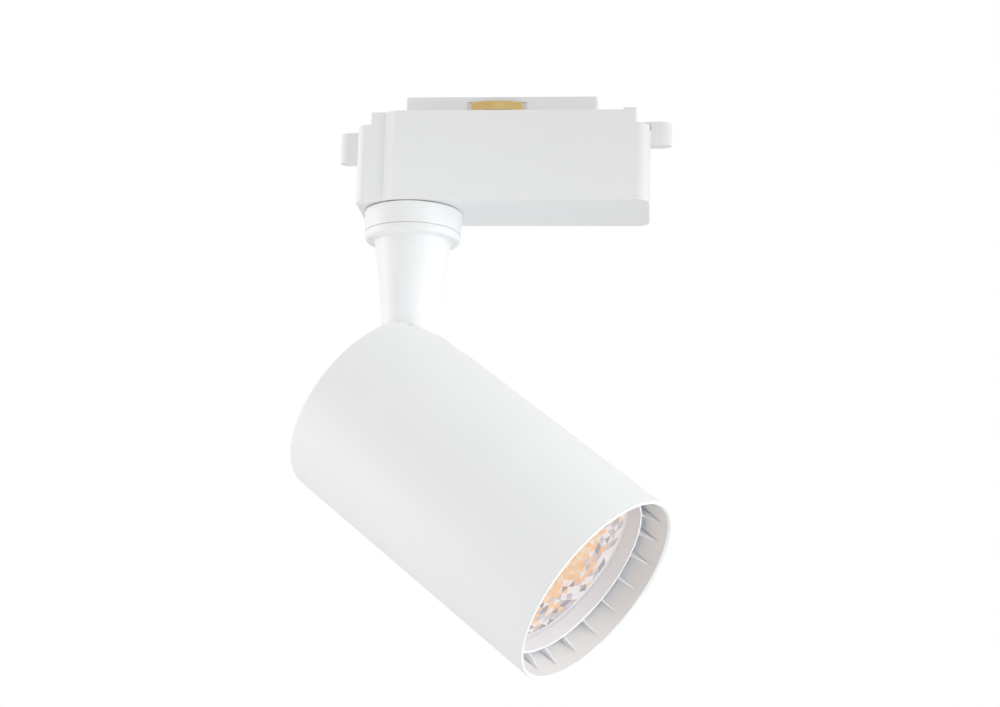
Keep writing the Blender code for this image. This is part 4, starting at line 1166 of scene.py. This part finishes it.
def make_capacitor(node):
    """Aluminium can in a shrunk sleeve, crimped near its foot, with a scored vent on top."""
    low, high = span(node)
    centre, radius = (low + high) / 2, (high.x - low.x) / 2
    axis, foot, top = (centre.x, centre.y, 0), low.z, high.z
    profile = fillet([
        (0, foot, 0), (radius - 0.5, foot, 0.4), (radius, foot + 0.9, 0.3), (radius, foot + 1.4, 0.3),
        (radius - 0.4, foot + 2.0, 0.3), (radius, foot + 2.6, 0.3), (radius, top - 0.35, 0.9),
        (radius - 1.0, top - 0.35, 0.1), (radius - 1.0, top - 0.6, 0.05), (0, top - 0.6, 0),
    ], 5)
    add(node + "_sleeve", turned(profile, "Z", 72, axis), "sleeve", "adapter", [node])
    disc = rod(radius - 1.05, top - 0.7, top - 0.25, centre=axis, steps=64, edge=0.1)
    scores = [
        box((centre.x - u, centre.x + u), (centre.y - v, centre.y + v), (top - 0.4, top))
        for u, v in ((radius * 0.6, 0.12), (0.12, radius * 0.6))
    ]
    add(node + "_can", disc, "can", "adapter", cuts=scores)


def make_chip():
    """Eight-lead driver chip with a dimple at its first lead."""
    low, high = span("driver_chip")
    body = box((low.x, high.x), (low.y + 0.7, high.y - 0.7), (low.z + 0.2, high.z))
    dimple = rod(0.35, high.z - 0.15, high.z + 1, centre=(low.x + 0.9, low.y + 1.6, 0), steps=24)
    add("chip_body", body, "dark", "adapter", ["driver_chip"], cuts=[dimple], bevel=0.12, segments=2)
    # A lead's bent outline: distance in from its toe, height, corner radius
    bent = (
        (0, 0, 0), (0.35, 0, 0.1), (0.45, 0.75, 0.1), (0.75, 0.75, 0),
        (0.75, 0.95, 0), (0.25, 0.95, 0.15), (0.15, 0.2, 0.1), (0, 0.2, 0),
    )
    legs = []
    for side, edge in ((-1, low.y), (1, high.y)):
        outline = fillet([(edge - side * inwards, low.z + up, radius) for inwards, up, radius in bent], 2)
        for i in range(4):
            x = low.x + 1.0 + i * (high.x - low.x - 2.0) / 3
            legs.append(prism(outline, x - 0.22, x + 0.22, "YZ"))
    add("chip_leads", merged(legs), "can", "adapter")


def make_choke():
    """Toroid wound with enamelled wire."""
    low, high = span("choke")
    centre = (low + high) / 2
    ring, thick = (high.x - low.x) / 2 - 1.5, 1.1
    rings = []
    turns, per_turn, sides = 26, 12, 8
    for i in range(turns * per_turn):
        around = math.tau * i / (turns * per_turn) * 0.9
        about = math.tau * i / per_turn
        out = Vector((math.cos(around), math.sin(around), 0))
        spot = centre + out * (ring + thick * math.cos(about)) + Vector((0, 0, thick * math.sin(about)))
        flow = (Vector((-math.sin(around), math.cos(around), 0)) * 0.35
                + (Vector((0, 0, 1)) * math.cos(about) - out * math.sin(about)) * thick).normalized()
        side = (out * math.cos(about) + Vector((0, 0, math.sin(about)))).normalized()
        other = flow.cross(side)
        rings.append([spot + (side * u + other * v) * 0.24 for u, v in round_section(sides)])
    add("choke_winding", loft(rings), "copper", "adapter", ["choke"], sharp=60)
    core = turned(arc(ring, centre.z, 0.75, 0, 350, 23), "Z", 64, (centre.x, centre.y, 0))
    add("choke_core", core, "ferrite", "adapter")


def make_terminal_block():
    """Two-pole screw terminal with wire funnels."""
    low, high = span("terminal_block")
    outline = fillet([
        (low.x, low.z, 0.3), (high.x, low.z, 0.3), (high.x, high.z - 2.5, 0.3), (high.x - 1.6, high.z, 0.3),
        (low.x, high.z, 0.3),
    ], 3)
    cuts, screws, slots = [], [], []
    for y in POLES:
        spot = (TERMINAL_X, y, 0)
        cuts.append(rod(1.6, low.z + 2.5, high.z + 1, centre=spot))
        cuts.append(box((high.x - 2.5, high.x + 1), (y - 1.5, y + 1.5), (low.z + 1.2, low.z + 4.0)))
        screws.append(rod(1.45, low.z + 2.6, high.z - 1.2, centre=spot, edge=0.2))
        slots.append(box((TERMINAL_X - 2, TERMINAL_X + 2), (y - 0.2, y + 0.2), (high.z - 1.7, high.z)))
    cuts.append(box((low.x - 1, high.x + 1), (4.85, 5.15), (low.z + 1.0, high.z + 1)))
    body = prism(outline, low.y, high.y, "XZ")
    add("terminal_body", body, "plastic", "adapter", ["terminal_block"], (), cuts, 0.12, 2, 50)
    add("terminal_screws", merged(screws), "zinc", "adapter", cuts=slots)


def make_contact(node, name):
    """Spring contact: a strip bowed outwards."""
    low, high = span(node)
    side = 1 if abs(high.y) > abs(low.y) else -1
    base, thick, steps = min(abs(low.y), abs(high.y)), 0.5, 40
    bow = high.y - low.y - thick
    rings = []
    for i in range(steps + 1):
        x = low.x + (high.x - low.x) * i / steps
        inner = side * (base + bow * math.sin(math.pi * i / steps))
        outer = inner + side * thick
        rings.append([(x, inner, low.z), (x, outer, low.z), (x, outer, high.z), (x, inner, high.z)])
    add(name, loft(rings), "brass", "adapter", [node], bevel=0.12, segments=2, sharp=50)


# ---------------------------------------------------------------- stage

def make_camera():
    """Looks up at the lamp from the front, slightly from the right."""
    place = Vector((88.90, -638.60, -220.34)) * MM
    yaw, pitch, roll = 5.1241, 12.1520, -1.4655
    turn = Matrix.Rotation(math.radians(yaw), 3, "Z") @ Matrix.Rotation(math.radians(pitch), 3, "X")
    turn = turn @ Matrix.Rotation(math.radians(roll), 3, "Y") @ Matrix.Rotation(math.radians(90), 3, "X")
    data = bpy.data.cameras.new("camera")
    data.lens, data.sensor_width = 68.71, 36.0
    data.clip_start, data.clip_end = 0.01, 20.0
    camera = bpy.data.objects.new("camera", data)
    camera.matrix_world = Matrix.Translation(place) @ turn.to_4x4()
    bpy.context.scene.collection.objects.link(camera)
    bpy.context.scene.camera = camera


STUDIO = (0.77, 0.83)


def make_world():
    """White studio, a little dimmer behind the camera than behind the object; the camera sees it white."""
    scene = bpy.context.scene
    world = bpy.data.worlds.new("studio")
    scene.world = world
    world.use_nodes = True
    tree = world.node_tree
    split = tree.nodes.new("ShaderNodeSeparateXYZ")
    link(tree, tree.nodes.new("ShaderNodeTexCoord").outputs["Generated"], split.inputs["Vector"])
    seen = tree.nodes.new("ShaderNodeMix")
    seen.data_type = "FLOAT"
    link(tree, tree.nodes.new("ShaderNodeLightPath").outputs["Is Camera Ray"], seen.inputs["Factor"])
    link(tree, map_range(tree, split.outputs["Y"], *STUDIO, -1.0, 0.5), seen.inputs["A"])
    seen.inputs["B"].default_value = 1.0
    link(tree, seen.outputs["Result"], tree.nodes["Background"].inputs["Strength"])
    tree.nodes["Background"].inputs["Color"].default_value = (1.0, 1.0, 1.0, 1.0)


def make_light(name, place, size, power, target=(0.03, 0.0, -0.09), spread=180.0, colour=(1.0, 1.0, 1.0)):
    data = bpy.data.lights.new(name, "AREA")
    data.shape = "RECTANGLE"
    data.size, data.size_y = size
    data.energy = power
    data.spread = math.radians(spread)
    data.color = colour
    lamp = bpy.data.objects.new(name, data)
    lamp.location = place
    lamp.rotation_euler = (Vector(target) - Vector(place)).to_track_quat("-Z", "Y").to_euler()
    lamp.visible_camera = False
    bpy.context.scene.collection.objects.link(lamp)


def make_stage():
    floor = object_from("floor", box((-3000, 3000), (-3000, 3000), (-460, -450)), WORLD)
    floor.data.materials.append(FINISHES["floor"])
    make_light("left_softbox", (-1.03, -0.05, -0.15), (0.8, 1.1), 5.3)
    make_light("right_softbox", (1.05, -0.30, 0.25), (0.8, 1.1), 2.9)
    make_light("mouth_fill", (0.55, -0.26, -0.40), (0.2, 0.2), 0.08,
               (0.095, -0.035, -0.185), 24.0, (0.86, 0.94, 1.0))
    bpy.context.scene.view_settings.view_transform = "Standard"


def main():
    make_camera()
    make_world()
    make_stage()
    make_adapter_body()
    make_lid()
    make_latches()
    make_boss()
    make_arm()
    make_split_washer()
    make_washer("swivel_flat_washer", "swivel_washer", 5.3, 8.6, -29.8, -28.8, "Z", "arm")
    for name in ("tilt_washer_left", "tilt_washer_right"):
        low, high = span(name, HEAD)
        make_washer(name + "_flat", name, 2.8, 5.6, low.y, high.y, "Y", "head")
    make_nut("swivel_locknut", "swivel_nut", 4.75, "Z", "arm")
    make_nut("tilt_locknut", "tilt_nut", 2.3, "Y", "head")
    for i in range(1, 5):
        make_screw(f"lid_screw_{i}", "adapter")
    for i in (1, 2):
        make_screw(f"board_screw_{i}", "adapter")
        make_screw(f"boss_screw_{i}", "adapter")
        make_screw(f"bracket_screw_{i}", "head", "X")
        make_screw(f"holder_screw_{i}", "head", "X")
    for i in (1, 2, 3):
        make_screw(f"rear_screw_{i}", "head", "X")
    make_spring("lock_latch_spring")
    make_spring("release_latch_spring")
    make_tube()
    make_rear_cover()
    make_trim_ring()
    make_bracket()
    make_tilt_bolt()
    make_heat_sink()
    make_standoffs()
    make_lamp()
    make_carrier()
    make_lens()
    make_leads()
    make_driver()
    make_contact("contact_live", "live_spring")
    make_contact("contact_neutral", "neutral_spring")


main()
